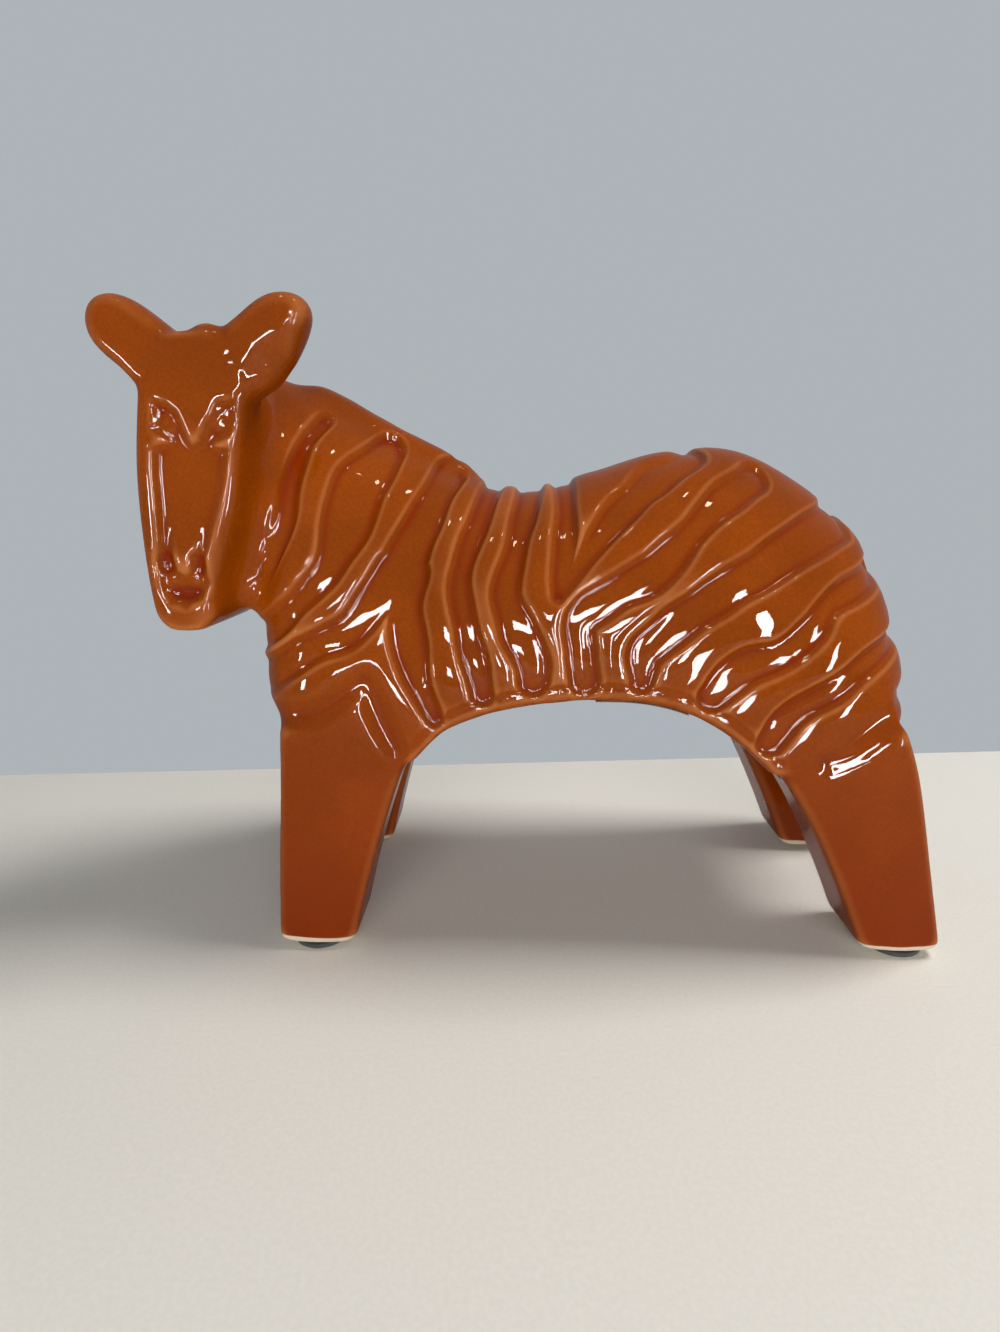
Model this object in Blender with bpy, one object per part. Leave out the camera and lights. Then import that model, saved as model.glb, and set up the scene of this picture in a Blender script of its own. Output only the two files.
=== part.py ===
"""Glazed ceramic zebra, built as the castings it is luted together from.

The body stands along X with its head at -X, the near side faces -Y and the feet stand on Z = 0.
All sizes are in millimetres; mesh_object turns them into metres.
"""

import math

import bmesh
import bpy
from mathutils import Vector

METRES_PER_MM = 0.001

# Body
BODY_WIDTH = 90.0
WALL = 5.0
SLIP_GAP = 0.3
STRIPE_DEPTH = 1.8
SMALLEST_SECTION = 5.0
VENT_DIAMETER = 8.0
VENT_X = -2.0
LEG_HOLE_DIAMETER = 9.0
NECK_HOLE_DIAMETER = 16.0
NECK_HOLE_Z = 124.0
NECK_JOINT_X = -79.0
RUMP_X = 107.0

# Legs and what is stuck on after firing
LEG_THICKNESS = 25.0
LEG_CORNER = 4.5
PAD_DIAMETER = 16.0
PAD_THICKNESS = 1.3
PAD_INSET = 1.5
LABEL_LENGTH = 25.0
LABEL_WIDTH = 16.0
LABEL_THICKNESS = 0.4
LABEL_X = 26.0
LABEL_INSET = 1.5

# Head
HEAD_DEPTH = 62.0
HEAD_CORNER = 6.0
HEAD_ROUNDING = 0.55
FLARE_DEPTH = 15.0
EYE_DEPTH = 2.6
NOSE_DEPTH = 1.8
NOSTRIL_RADIUS = 2.4
MOUTH_DEPTH = 2.0
EAR_THICKNESS = 13.0
EAR_WIDTH = 18.5
EAR_DISH = 2.5
FORELOCK_WIDTH = 9.0
FORELOCK_HEIGHT = 4.0

# Strips of clay laid on the body
MANE_WIDTH = 13.0
MANE_HEIGHT = 4.0
TAIL_WIDTH = 8.0
TAIL_THICKNESS = 5.0

# How finely round shapes are divided
BODY_STATIONS = 36
CAVITY_STATIONS = 18
DOME_STEPS = 9
DISC_SEGMENTS = 24
STROKE_STEP = 5.0
STROKE_TIP = 0.8
LEG_STEPS = 6
EAR_SEGMENTS = 20
MANE_STEPS = 14
TAIL_SEGMENTS = 12
TAIL_STEP = 6.0
LABEL_STEPS = 8

# Top line of neck, back and rump: x, z
BACK_LINE = [
    (NECK_JOINT_X, 163.5), (-66, 158), (-51, 149.5), (-34, 141), (-25, 136.8), (-16, 133), (-4, 132.2),
    (16, 136.6), (33, 141.8), (50, 143.2), (62, 140.4), (80, 130), (88, 123.5), (95, 112), (101, 97),
    (RUMP_X, 78),
]
# Arch under the belly from fore leg to hind leg: x, z
ARCH_LINE = [
    (-37, 57.5), (-28.6, 66.3), (-17.7, 71.4), (-4, 74.6), (14.5, 76.1), (33, 74.3), (48, 67.6), (63, 55),
]
# Heights where the leg joints meet chest and rump
CHEST_JOINT_Z = 67.0
RUMP_JOINT_Z = 69.0
# Half width along the body as a share of the full half width: x, share
PLAN_LINE = [
    (NECK_JOINT_X, 0.72), (-74, 0.88), (-67, 0.97), (-55, 1), (72, 1), (86, 0.95), (95, 0.84), (102, 0.65),
    (RUMP_X, 0.32),
]
# Rounding of the lower edge, sharp where the legs are joined: x, radius
RIM_LINE = [(-44, 0.4), (-30, 3), (50, 3), (68, 0.4)]
# How full the dome of the body is, 2 is an ellipse: x, exponent
FULLNESS_LINE = [(NECK_JOINT_X, 2.0), (-40, 1.9), (0, 2.2), (60, 2.2), (RUMP_X, 2.0)]

# Leg edges from sole to joint in side view: x, z
FORE_OUTER_EDGE = [(-77, 0), (-75.5, 24), (-73.5, 48), (-72.5, 65)]
FORE_INNER_EDGE = [(-55.5, 0), (-51.5, 16), (-45.5, 36), (-38, 56.5)]
HIND_INNER_EDGE = [(93, 0), (85.5, 16.5), (75, 36.5), (63.5, 53.5)]
HIND_OUTER_EDGE = [(115, 0), (108.5, 26), (102, 51), (97, 64)]

# Head from chin to crown: z, left x, right x, share of the way to the neck joint, share of the full depth
HEAD_LINE = [
    (95, -99, -91, 0, 0.66), (98, -103, -87.5, 0.2, 0.74), (106, -104.8, -85.5, 1, 0.86),
    (117, -105.3, -82, 1, 0.95), (129, -105.3, -78.5, 1, 1), (139, -104.7, -76.8, 1, 1),
    (157, -102, -74, 1, 0.95), (164, -100.5, -75.5, 1, 0.82), (168, -96.5, -79.5, 0.8, 0.68),
]
EYES = [
    [(-98.5, 151), (-94, 149.5), (-92, 146), (-90.5, 141.7), (-95, 142), (-98.5, 145)],
    [(-82, 150.5), (-79, 150), (-79.5, 144), (-83, 140), (-88, 142)],
]
NOSE_PANEL = [(-98.5, 138), (-83, 138), (-85, 128), (-88, 117.6), (-97, 117.6), (-98.5, 128)]
NOSTRILS = [(-97, 111), (-88.5, 111)]
MOUTH = [(-96, 103.5), (-90, 103.5), (-91.5, 101), (-94.5, 101)]
# Ears from root to tip and the forelock: x, depth behind the face, z
LEFT_EAR = [(-95, 9, 161.5), (-112, 8, 174)]
RIGHT_EAR = [(-79, 9, 161), (-60, 8, 174.5)]
FORELOCK = (-87, 8, 167)
# Ear outline: share of the way from root to tip, share of the ear's width
EAR_OUTLINE = [(-0.25, 0.62), (0, 0.78), (0.3, 0.98), (0.55, 0.96), (0.78, 0.8), (0.92, 0.52), (1, 0.12)]
MANE_SPAN = (-72, -20)
TAIL_LINE = [*BACK_LINE[-4:], (RUMP_X + 2, 69), (RUMP_X + 1, 60)]

# Grooves between the raised stripes, each a brush stroke: x, z, half width
STRIPE_GROOVES = [
    [(-63, 150, 2.4), (-67, 143, 2.2), (-69, 132, 2.6), (-71, 122, 2.8), (-75, 112, 2.6), (-79, 104, 1.4)],
    [(-46, 142, 5), (-51, 133, 7.2), (-54, 122, 6.6), (-58, 111, 4), (-65, 103, 3.4), (-73, 96, 3.6),
     (-82, 90, 3.6)],
    [(-28, 136, 4.5), (-33, 124, 4.8), (-38, 113, 6), (-41, 106, 6)],
    [(-41, 110, 5.4), (-46, 102, 5.2), (-52, 95, 4.6), (-62, 90, 4.3), (-72, 84, 4.5), (-81, 79, 4.5)],
    [(-37, 110, 5.4), (-38, 100, 5), (-36, 88, 4.6), (-33, 78, 2.9), (-30, 71, 2.4)],
    [(-50, 83, 3.2), (-57, 78, 4.2), (-65, 73, 3.5), (-73, 70, 2.6), (-81, 69, 2.2)],
    [(-50, 83, 3.2), (-46, 76, 2.8), (-41, 68, 2), (-38, 63, 1.8)],
    [(-13, 137, 2.7), (-19, 122, 2.8), (-23, 108, 2.9), (-21, 94, 3.4), (-18, 84, 3.4), (-17, 78, 3.2)],
    [(-3, 137, 3.8), (-8, 118, 3), (-11, 105, 3.8), (-8, 96, 4.9), (-4, 87, 4.7), (-3, 82, 4.2)],
    [(5, 138, 3), (5.5, 124, 2.8), (4, 112, 3.2), (3, 104, 1.6)],
    [(42, 141, 2.8), (31, 135, 3.9), (20, 126, 3.9), (10, 114, 2.6), (4, 105, 1.4)],
    [(57, 134, 4.4), (46, 128, 4.4), (38, 120, 3.6), (30, 112, 5.2), (17, 104, 4.8), (9, 98, 4.6),
     (9, 90, 3.8), (10, 82, 4.2)],
    [(82, 123, 5.6), (66, 116, 5.8), (48, 106, 5.3), (34, 97, 5.2), (26, 90, 4.8), (25, 82, 3.2)],
    [(91, 109, 4), (76, 102, 3.5), (70, 95, 4), (62, 89, 4.3), (50, 84, 5.4), (44, 78, 4.2)],
    [(99, 92, 3.4), (88, 87, 3.4), (77, 80, 3.6), (66, 73, 3.9), (60, 65, 4)],
    [(103, 76, 4.2), (93, 71, 4.3), (83, 64, 4.4), (76, 60, 3.6)],
]


def clear_scene():
    """Empty the scene."""
    for existing in list(bpy.data.objects):
        bpy.data.objects.remove(existing)


def plain_material(name, colour, roughness):
    """Plain non-metallic material with one colour."""
    material = bpy.data.materials.new(name)
    material.use_nodes = True
    shader = material.node_tree.nodes["Principled BSDF"]
    shader.inputs["Base Color"].default_value = (*colour, 1.0)
    shader.inputs["Roughness"].default_value = roughness
    shader.inputs["Metallic"].default_value = 0.0
    return material


def smooth_value(points, at):
    """Height of the smooth curve through points (position, value) at one position."""
    count = len(points)
    if at <= points[0][0]:
        return points[0][1]
    if at >= points[-1][0]:
        return points[-1][1]
    slopes = []
    for i in range(count):
        before = points[max(i - 1, 0)]
        after = points[min(i + 1, count - 1)]
        slopes.append((after[1] - before[1]) / (after[0] - before[0]))
    i = next(k for k in range(count - 1) if points[k + 1][0] >= at)
    span = points[i + 1][0] - points[i][0]
    t = (at - points[i][0]) / span
    start = (1 + 2 * t) * (1 - t) ** 2 * points[i][1] + t * (1 - t) ** 2 * span * slopes[i]
    end = t * t * (3 - 2 * t) * points[i + 1][1] - t * t * (1 - t) * span * slopes[i + 1]
    return start + end


def smooth_path(points, step):
    """Points about one step apart on the smooth curve through points of any dimension."""
    knots = [Vector(p) for p in points]
    knots = [2 * knots[0] - knots[1], *knots, 2 * knots[-1] - knots[-2]]
    path = []
    for a, b, c, d in zip(knots, knots[1:], knots[2:], knots[3:]):
        pieces = max(1, round((c - b).length / step))
        for k in range(pieces):
            t = k / pieces
            path.append(b + 0.5 * t * (c - a + t * (2 * a - 5 * b + 4 * c - d + t * (3 * (b - c) + d - a))))
    path.append(knots[-2])
    return path


def mesh_object(name, mesh, material):
    """Closed bmesh in millimetres as a named object in metres, with its faces turned outward."""
    bmesh.ops.scale(mesh, vec=Vector((METRES_PER_MM,) * 3), verts=mesh.verts)
    bmesh.ops.triangulate(mesh, faces=mesh.faces)
    bmesh.ops.recalc_face_normals(mesh, faces=mesh.faces)
    data = bpy.data.meshes.new(name)
    mesh.to_mesh(data)
    mesh.free()
    made = bpy.data.objects.new(name, data)
    bpy.context.scene.collection.objects.link(made)
    data.materials.append(material)
    return made


def loft(name, rings, material):
    """Skin through rings of equally many points, closed at both ends."""
    mesh = bmesh.new()
    rows = [[mesh.verts.new(point) for point in ring] for ring in rings]
    for row, following in zip(rows, rows[1:]):
        for k in range(len(row)):
            mesh.faces.new((row[k - 1], row[k], following[k], following[k - 1]))
    mesh.faces.new(rows[0])
    mesh.faces.new(rows[-1])
    return mesh_object(name, mesh, material)


def plate(name, outline, y_start, y_end, material):
    """Outline of (x, z) points pushed along Y."""
    rings = [[(x, y, z) for x, z in outline] for y in (y_start, y_end)]
    return loft(name, rings, material)


def disc(name, centre, diameter, length, axis, material):
    """Cylinder around a centre, its length along one axis."""
    mesh = bmesh.new()
    bmesh.ops.create_cone(
        mesh, cap_ends=True, segments=DISC_SEGMENTS, radius1=diameter / 2, radius2=diameter / 2, depth=length
    )
    turn = Vector((0, 0, 1)).rotation_difference(Vector(axis)).to_matrix()
    bmesh.ops.rotate(mesh, verts=mesh.verts, cent=Vector(), matrix=turn)
    bmesh.ops.translate(mesh, verts=mesh.verts, vec=Vector(centre))
    return mesh_object(name, mesh, material)


def ellipsoid(name, centre, radii, material):
    """Ball stretched to three radii."""
    mesh = bmesh.new()
    bmesh.ops.create_uvsphere(mesh, u_segments=24, v_segments=12, radius=1)
    bmesh.ops.scale(mesh, vec=Vector(radii), verts=mesh.verts)
    bmesh.ops.translate(mesh, vec=Vector(centre), verts=mesh.verts)
    return mesh_object(name, mesh, material)


def combine(target, tool, operation):
    """Join, cut or intersect the target with a tool, which is used up."""
    step = target.modifiers.new(operation, "BOOLEAN")
    step.operation = operation
    step.solver = "EXACT"
    step.object = tool
    bpy.context.view_layer.update()
    graph = bpy.context.evaluated_depsgraph_get()
    result = bpy.data.meshes.new_from_object(target.evaluated_get(graph))
    target.modifiers.clear()
    target.data = result
    bpy.data.objects.remove(tool)


def belly_height(x):
    """Underside of the trunk: sloping leg joints at both ends and the arch between them."""
    fore, hind = ARCH_LINE[0], ARCH_LINE[-1]
    chest_x, rump_x = BACK_LINE[0][0], BACK_LINE[-1][0]
    if x <= fore[0]:
        return fore[1] + (CHEST_JOINT_Z - fore[1]) * (fore[0] - x) / (fore[0] - chest_x)
    if x >= hind[0]:
        return hind[1] + (RUMP_JOINT_Z - hind[1]) * (x - hind[0]) / (rump_x - hind[0])
    return smooth_value(ARCH_LINE, x)


def trunk_ring(x, place, grow):
    """Cross-section of trunk and neck for position x, put at place along X and grown all round."""
    bottom = belly_height(x) - grow
    top = max(smooth_value(BACK_LINE, x) + grow, bottom + SMALLEST_SECTION)
    half = max(smooth_value(PLAN_LINE, x) * BODY_WIDTH / 2 + grow, SMALLEST_SECTION)
    rim_radius = smooth_value(RIM_LINE, x)
    power = 2 / smooth_value(FULLNESS_LINE, x)
    shoulder = bottom + rim_radius
    side = []
    for k in range(DOME_STEPS + 1):
        angle = math.pi / 2 * k / DOME_STEPS
        rise = math.sin(angle) ** power
        side.append((half * max(math.cos(angle), 0) ** power, shoulder + (top - shoulder) * rise))
    side[-1] = (0, top)
    bend = rim_radius * (1 - math.sqrt(0.5))
    rim = [(half - rim_radius, bottom), (half - bend, bottom + bend)]
    half_ring = rim + side
    ring = [(place, -y, z) for y, z in half_ring]
    ring += [(place, y, z) for y, z in reversed(half_ring[:-1])]
    return ring


def trunk_solid(name, grow, material, stations=BODY_STATIONS):
    """Trunk and neck as one solid, grown or shrunk evenly, with stations closer together at the ends."""
    start, end = BACK_LINE[0][0], BACK_LINE[-1][0]
    rings = []
    for k in range(stations + 1):
        share = 0.6 * k / stations + 0.2 * (1 - math.cos(math.pi * k / stations))
        x = start + (end - start) * share
        place = start - grow + (end - start + 2 * grow) * share
        rings.append(trunk_ring(x, place, grow))
    return loft(name, rings, material)


def groove_outline(stroke):
    """Closed outline of a brush stroke with round ends."""
    path = smooth_path(stroke, STROKE_STEP)
    left, right = [], []
    for k, point in enumerate(path):
        ahead = path[min(k + 1, len(path) - 1)] - path[max(k - 1, 0)]
        along = Vector((ahead.x, ahead.y)).normalized()
        across = Vector((-along.y, along.x)) * point.z
        centre = Vector((point.x, point.y))
        left.append(centre + across)
        right.append(centre - across)
        if k in (0, len(path) - 1):
            tip = along * point.z * STROKE_TIP
            if k == 0:
                left.insert(0, centre - tip)
            else:
                right.append(centre + tip)
    return [tuple(p) for p in left + right[::-1]]


def leg_centres():
    """Each leg's name, side, front edge, rear edge, x of its joint's middle and x of its sole's middle."""
    legs = {"fore": (FORE_OUTER_EDGE, FORE_INNER_EDGE), "hind": (HIND_INNER_EDGE, HIND_OUTER_EDGE)}
    centres = []
    for place, (front, rear) in legs.items():
        for name, side in (("near", -1), ("far", 1)):
            joint_x = (front[-1][0] + rear[-1][0]) / 2
            sole_x = (front[0][0] + rear[0][0]) / 2
            centres.append((f"{name}_{place}", side, front, rear, joint_x, sole_x))
    return centres


def leg_middle_y(side):
    """Distance of a leg's middle from the centre plane."""
    return side * (BODY_WIDTH - LEG_THICKNESS) / 2


def neck_hole(material):
    """Opening between the hollows of neck and head, in the middle of the head's flat neck side."""
    joint_front = -BODY_WIDTH / 2 + 1.5 * FLARE_DEPTH
    joint_back = -BODY_WIDTH / 2 + HEAD_DEPTH
    centre = (NECK_JOINT_X, (joint_front + joint_back) / 2, NECK_HOLE_Z)
    return disc("neck_hole", centre, NECK_HOLE_DIAMETER, 4 * WALL, (1, 0, 0), material)


def trunk_hollow(material):
    """Inside of trunk and neck with its openings to the head, to the legs and through the belly."""
    hollow = trunk_solid("hollow", -WALL - STRIPE_DEPTH, material, CAVITY_STATIONS)
    combine(hollow, neck_hole(material), "UNION")
    vent = (VENT_X, 0, belly_height(VENT_X))
    combine(hollow, disc("vent", vent, VENT_DIAMETER, 4 * WALL, (0, 0, 1), material), "UNION")
    for _, side, _, _, joint_x, _ in leg_centres():
        hole = (joint_x, leg_middle_y(side), belly_height(joint_x))
        combine(hollow, disc("leg_hole", hole, LEG_HOLE_DIAMETER, 4 * WALL, (0, 0, 1), material), "UNION")
    return hollow


def build_shells(material):
    """Two hollow halves of trunk and neck with the stripe grooves sunk into both sides."""
    trunk = trunk_solid("trunk", 0, material)
    reach = BODY_WIDTH
    for stroke in STRIPE_GROOVES:
        combine(trunk, plate("groove", groove_outline(stroke), -reach, reach, material), "DIFFERENCE")
    combine(trunk, trunk_solid("groove_floor", -STRIPE_DEPTH, material), "UNION")
    combine(trunk, trunk_hollow(material), "DIFFERENCE")
    length = BACK_LINE[-1][0] - BACK_LINE[0][0]
    for name, side in (("near_side_shell", -1), ("far_side_shell", 1)):
        half = trunk.copy()
        half.data = trunk.data.copy()
        half.name = name
        bpy.context.scene.collection.objects.link(half)
        frame = [(-length, -length), (length, -length), (length, length), (-length, length)]
        outline = [(x, z + length / 2) for x, z in frame]
        combine(half, plate("half_space", outline, side * SLIP_GAP / 2, side * reach, material), "INTERSECT")
    bpy.data.objects.remove(trunk)


def leg_ring(left, right, y_inner, y_outer, corner):
    """Rounded rectangle between two edge points (x, z) and two depths."""
    width = right[0] - left[0]
    ring = []
    corners = [
        (width - corner, y_outer - corner, 0), (corner, y_outer - corner, 90),
        (corner, y_inner + corner, 180), (width - corner, y_inner + corner, 270),
    ]
    for x, y, first in corners:
        for turn in (0, 45, 90):
            angle = math.radians(first + turn)
            across = x + corner * math.cos(angle)
            depth = y + corner * math.sin(angle)
            ring.append((left[0] + across, depth, left[1] + (right[1] - left[1]) * across / width))
    return ring


def leg_solid(name, front, rear, side, inset, material):
    """Leg from sole to joint; with an inset it is the hollow inside, which runs out through the joint."""
    sole = PAD_THICKNESS + SLIP_GAP
    middle = abs(leg_middle_y(side))
    y_inner = middle - LEG_THICKNESS / 2 + inset
    y_outer = middle + LEG_THICKNESS / 2 - inset
    corner = max(LEG_CORNER - inset, 1.0)
    rings = []
    for k in range(LEG_STEPS + 1):
        share = k / LEG_STEPS
        edges = []
        for edge, inward in ((front, inset), (rear, -inset)):
            top_x = edge[-1][0]
            joint = belly_height(top_x) - SLIP_GAP
            foot = sole + inset
            x = smooth_value([(z, x) for x, z in edge], foot + (edge[-1][1] - foot) * share)
            edges.append((x + inward, foot + (joint - foot + inset) * share))
        ring = leg_ring(edges[0], edges[1], y_inner, y_outer, corner)
        rings.append([(x, side * y, z) for x, y, z in ring])
    return loft(name, rings, material)


def build_legs(material):
    """Four hollow legs, open at the joint and closed at the sole."""
    for name, side, front, rear, _, _ in leg_centres():
        leg = leg_solid(f"{name}_leg", front, rear, side, 0, material)
        combine(leg, leg_solid("hollow", front, rear, side, WALL, material), "DIFFERENCE")


def build_pads(material):
    """Felt discs under the four feet, close to the outer edge."""
    for name, side, _, _, _, sole_x in leg_centres():
        y = side * (BODY_WIDTH / 2 - PAD_INSET - PAD_DIAMETER / 2)
        centre = (sole_x, y, PAD_THICKNESS / 2)
        disc(f"{name}_pad", centre, PAD_DIAMETER, PAD_THICKNESS, (0, 0, 1), material)


def head_ring(level, grow):
    """Cross-section of the head: flat face in front, flared towards the neck, one broad curve behind."""
    z, left, right, reach, fullness = level
    rear_right = right + (NECK_JOINT_X - SLIP_GAP - right) * reach + grow
    left -= grow
    right += grow
    front = -BODY_WIDTH / 2 - grow
    back = -BODY_WIDTH / 2 + HEAD_DEPTH * fullness + grow
    corner = min(HEAD_CORNER, (right - left) / 2.5)
    slant = 0.3 * corner
    flare = front + FLARE_DEPTH
    across = rear_right - corner - left
    along = HEAD_ROUNDING * (back - front)
    cheek = []
    for turn in (0, math.pi / 6, math.pi / 3):
        cheek.append((left + across * (1 - math.cos(turn)), back - along * (1 - math.sin(turn)), z))
    return [
        (left + corner, front, z), (left + slant, front + slant, z), (left, front + corner, z),
        *cheek,
        (rear_right - corner, back, z), (rear_right, back - corner, z),
        (rear_right, flare + FLARE_DEPTH / 2, z), (rear_right + (right - rear_right) * 0.3, flare, z),
        (right, front + corner, z),
        (right - slant, front + slant, z), (right - corner, front, z),
    ]


def head_solid(name, grow, material):
    """Head from chin to crown, grown or shrunk by an even amount."""
    chin, crown = HEAD_LINE[0][0], HEAD_LINE[-1][0]
    rings = []
    for level in HEAD_LINE:
        share = (level[0] - chin) / (crown - chin)
        z = chin - grow + (crown - chin + 2 * grow) * share
        rings.append(head_ring((z, *level[1:]), grow))
    return loft(name, rings, material)


def build_head(material):
    """Hollow head with eyes, nose panel, nostrils and mouth sunk into the face."""
    head = head_solid("head_shell", 0, material)
    face = -BODY_WIDTH / 2
    for eye in EYES:
        combine(head, plate("eye", eye, face - EYE_DEPTH, face + EYE_DEPTH, material), "DIFFERENCE")
    panel = plate("nose_panel", NOSE_PANEL, face - NOSE_DEPTH, face + NOSE_DEPTH, material)
    combine(head, panel, "DIFFERENCE")
    for x, z in NOSTRILS:
        combine(head, ellipsoid("nostril", (x, face, z), (NOSTRIL_RADIUS,) * 3, material), "DIFFERENCE")
    combine(head, plate("mouth", MOUTH, face - MOUTH_DEPTH, face + MOUTH_DEPTH, material), "DIFFERENCE")
    hollow = head_solid("hollow", -WALL, material)
    combine(hollow, neck_hole(material), "UNION")
    combine(head, hollow, "DIFFERENCE")


def behind_face(point):
    """Point whose depth is counted from the face, as a point in space."""
    x, depth, z = point
    return Vector((x, depth - BODY_WIDTH / 2, z))


def ear_solid(name, root, tip, material):
    """Paddle-shaped ear with a dished front, before it is fitted to the head."""
    root = behind_face(root)
    along = behind_face(tip) - root
    across = Vector((along.z, 0, -along.x)).normalized() * EAR_WIDTH / 2
    rings = []
    for share, width in EAR_OUTLINE:
        ring = []
        for k in range(EAR_SEGMENTS):
            angle = 2 * math.pi * k / EAR_SEGMENTS
            thick = Vector((0, EAR_THICKNESS / 2 * math.sin(angle) * min(1, 0.25 + width), 0))
            ring.append(root + along * share + across * width * math.cos(angle) + thick)
        rings.append(ring)
    ear = loft(name, rings, material)
    middle = root + along * 0.6
    dish = (middle.x, middle.y - EAR_THICKNESS / 2 - EAR_DISH, middle.z)
    radii = (EAR_WIDTH * 0.42, 2 * EAR_DISH, EAR_WIDTH * 0.34)
    combine(ear, ellipsoid("dish", dish, radii, material), "DIFFERENCE")
    return ear


def build_head_pieces(material):
    """Ears and forelock, each cut to sit on the head."""
    pieces = [ear_solid("left_ear", *LEFT_EAR, material), ear_solid("right_ear", *RIGHT_EAR, material)]
    size = (FORELOCK_WIDTH / 2, FORELOCK_WIDTH / 2, FORELOCK_HEIGHT)
    pieces.append(ellipsoid("forelock", behind_face(FORELOCK), size, material))
    for piece in pieces:
        combine(piece, head_solid("head_seat", SLIP_GAP, material), "DIFFERENCE")


def build_mane(material):
    """Strip of clay laid over the neck crest."""
    start, end = MANE_SPAN
    half = MANE_WIDTH / 2
    rings = []
    for k in range(MANE_STEPS + 1):
        x = start + (end - start) * k / MANE_STEPS
        top = smooth_value(BACK_LINE, x) + MANE_HEIGHT * min(1, (MANE_STEPS - k + 1) / 3)
        base = smooth_value(BACK_LINE, x) - half
        section = [(-half, base), (-half, top - 0.7 * half), (-0.7 * half, top - 0.25 * half), (0, top)]
        ring = section + [(-y, z) for y, z in reversed(section[:-1])]
        rings.append([(x, y, z) for y, z in ring])
    mane = loft("mane", rings, material)
    combine(mane, trunk_solid("trunk_seat", SLIP_GAP, material), "DIFFERENCE")


def build_tail(material):
    """Tail of clay lying down the middle of the rump."""
    path = smooth_path(TAIL_LINE, TAIL_STEP)
    rings = []
    for k, point in enumerate(path):
        ahead = path[min(k + 1, len(path) - 1)] - path[max(k - 1, 0)]
        outward = Vector((-ahead.y, ahead.x)).normalized()
        swell = 0.75 + 0.35 * k / (len(path) - 1)
        ring = []
        for turn in range(TAIL_SEGMENTS):
            angle = 2 * math.pi * turn / TAIL_SEGMENTS
            out = outward * TAIL_THICKNESS * math.cos(angle)
            ring.append((point.x + out.x, TAIL_WIDTH / 2 * swell * math.sin(angle), point.y + out.y))
        rings.append(ring)
    tail = loft("tail", rings, material)
    combine(tail, trunk_solid("trunk_seat", SLIP_GAP, material), "DIFFERENCE")


def build_label(material):
    """Blank sticker that follows the belly near its edge."""
    near = -BODY_WIDTH / 2 + LABEL_INSET
    far = near + LABEL_WIDTH
    rings = []
    for k in range(LABEL_STEPS + 1):
        x = LABEL_X + LABEL_LENGTH * (k / LABEL_STEPS - 0.5)
        top = belly_height(x) - SLIP_GAP
        bottom = top - LABEL_THICKNESS
        rings.append([(x, near, bottom), (x, far, bottom), (x, far, top), (x, near, top)])
    loft("belly_label", rings, material)


def centre_lengthwise():
    """Slide the whole animal along X until its two ends are equally far from the origin."""
    bpy.context.view_layer.update()
    pieces = list(bpy.context.scene.objects)
    along = [vertex.co.x for piece in pieces for vertex in piece.data.vertices]
    for piece in pieces:
        piece.location.x = -(min(along) + max(along)) / 2


def main():
    """Build every piece."""
    clear_scene()
    glazed = plain_material("amber_glaze", (0.29, 0.055, 0.002), 0.12)
    felt = plain_material("black_felt", (0.01, 0.01, 0.012), 0.95)
    paper = plain_material("label_paper", (0.14, 0.115, 0.095), 0.8)
    build_shells(glazed)
    build_legs(glazed)
    build_head(glazed)
    build_head_pieces(glazed)
    build_mane(glazed)
    build_tail(glazed)
    build_pads(felt)
    build_label(paper)
    centre_lengthwise()


main()
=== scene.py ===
"""Looks of the glazed ceramic zebra: skin over the luted castings, felt pads, label, table and light."""

import logging
import math
from collections.abc import Sequence
from dataclasses import dataclass, field
from enum import Enum

import bmesh
import bpy
import numpy as np
from mathutils import Matrix, Vector

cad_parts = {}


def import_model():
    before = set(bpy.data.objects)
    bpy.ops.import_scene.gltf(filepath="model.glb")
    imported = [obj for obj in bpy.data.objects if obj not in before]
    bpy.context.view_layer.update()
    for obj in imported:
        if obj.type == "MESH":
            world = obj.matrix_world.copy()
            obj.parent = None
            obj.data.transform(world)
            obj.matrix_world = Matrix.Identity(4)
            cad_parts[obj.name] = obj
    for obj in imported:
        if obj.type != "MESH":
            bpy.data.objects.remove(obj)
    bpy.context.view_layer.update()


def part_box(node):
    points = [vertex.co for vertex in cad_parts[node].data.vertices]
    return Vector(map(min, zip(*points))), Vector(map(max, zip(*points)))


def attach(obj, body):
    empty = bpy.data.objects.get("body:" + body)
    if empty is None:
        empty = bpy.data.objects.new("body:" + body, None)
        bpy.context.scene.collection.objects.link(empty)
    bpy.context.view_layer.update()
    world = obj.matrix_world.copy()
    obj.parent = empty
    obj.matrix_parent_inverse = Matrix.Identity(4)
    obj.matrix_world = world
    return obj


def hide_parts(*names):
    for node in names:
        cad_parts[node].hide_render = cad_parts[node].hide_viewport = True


MM = 0.001
POINTS_AT_A_TIME = 4000
LOG = logging.getLogger("zebra")

Point2 = tuple[float, float]
Point3 = tuple[float, float, float]
Ring = list[Point3]
Line = Sequence[Point2]
Stroke = Sequence[Point3]
Colour = tuple[float, float, float]
Plane = tuple[Vector, Vector]
Mesh = bmesh.types.BMesh
Object = bpy.types.Object
Material = bpy.types.Material
Socket = bpy.types.NodeSocket


class Side(Enum):
    """Which side of the centre plane a piece lies on."""

    NEAR = -1
    FAR = 1


class Place(Enum):
    """Which pair of legs a leg belongs to."""

    FORE = "fore"
    HIND = "hind"


class Reach(Enum):
    """What a light does: it shades surfaces, or it is only mirrored in the glaze."""

    SHADES = "shades"
    MIRRORED = "mirrored"


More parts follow.
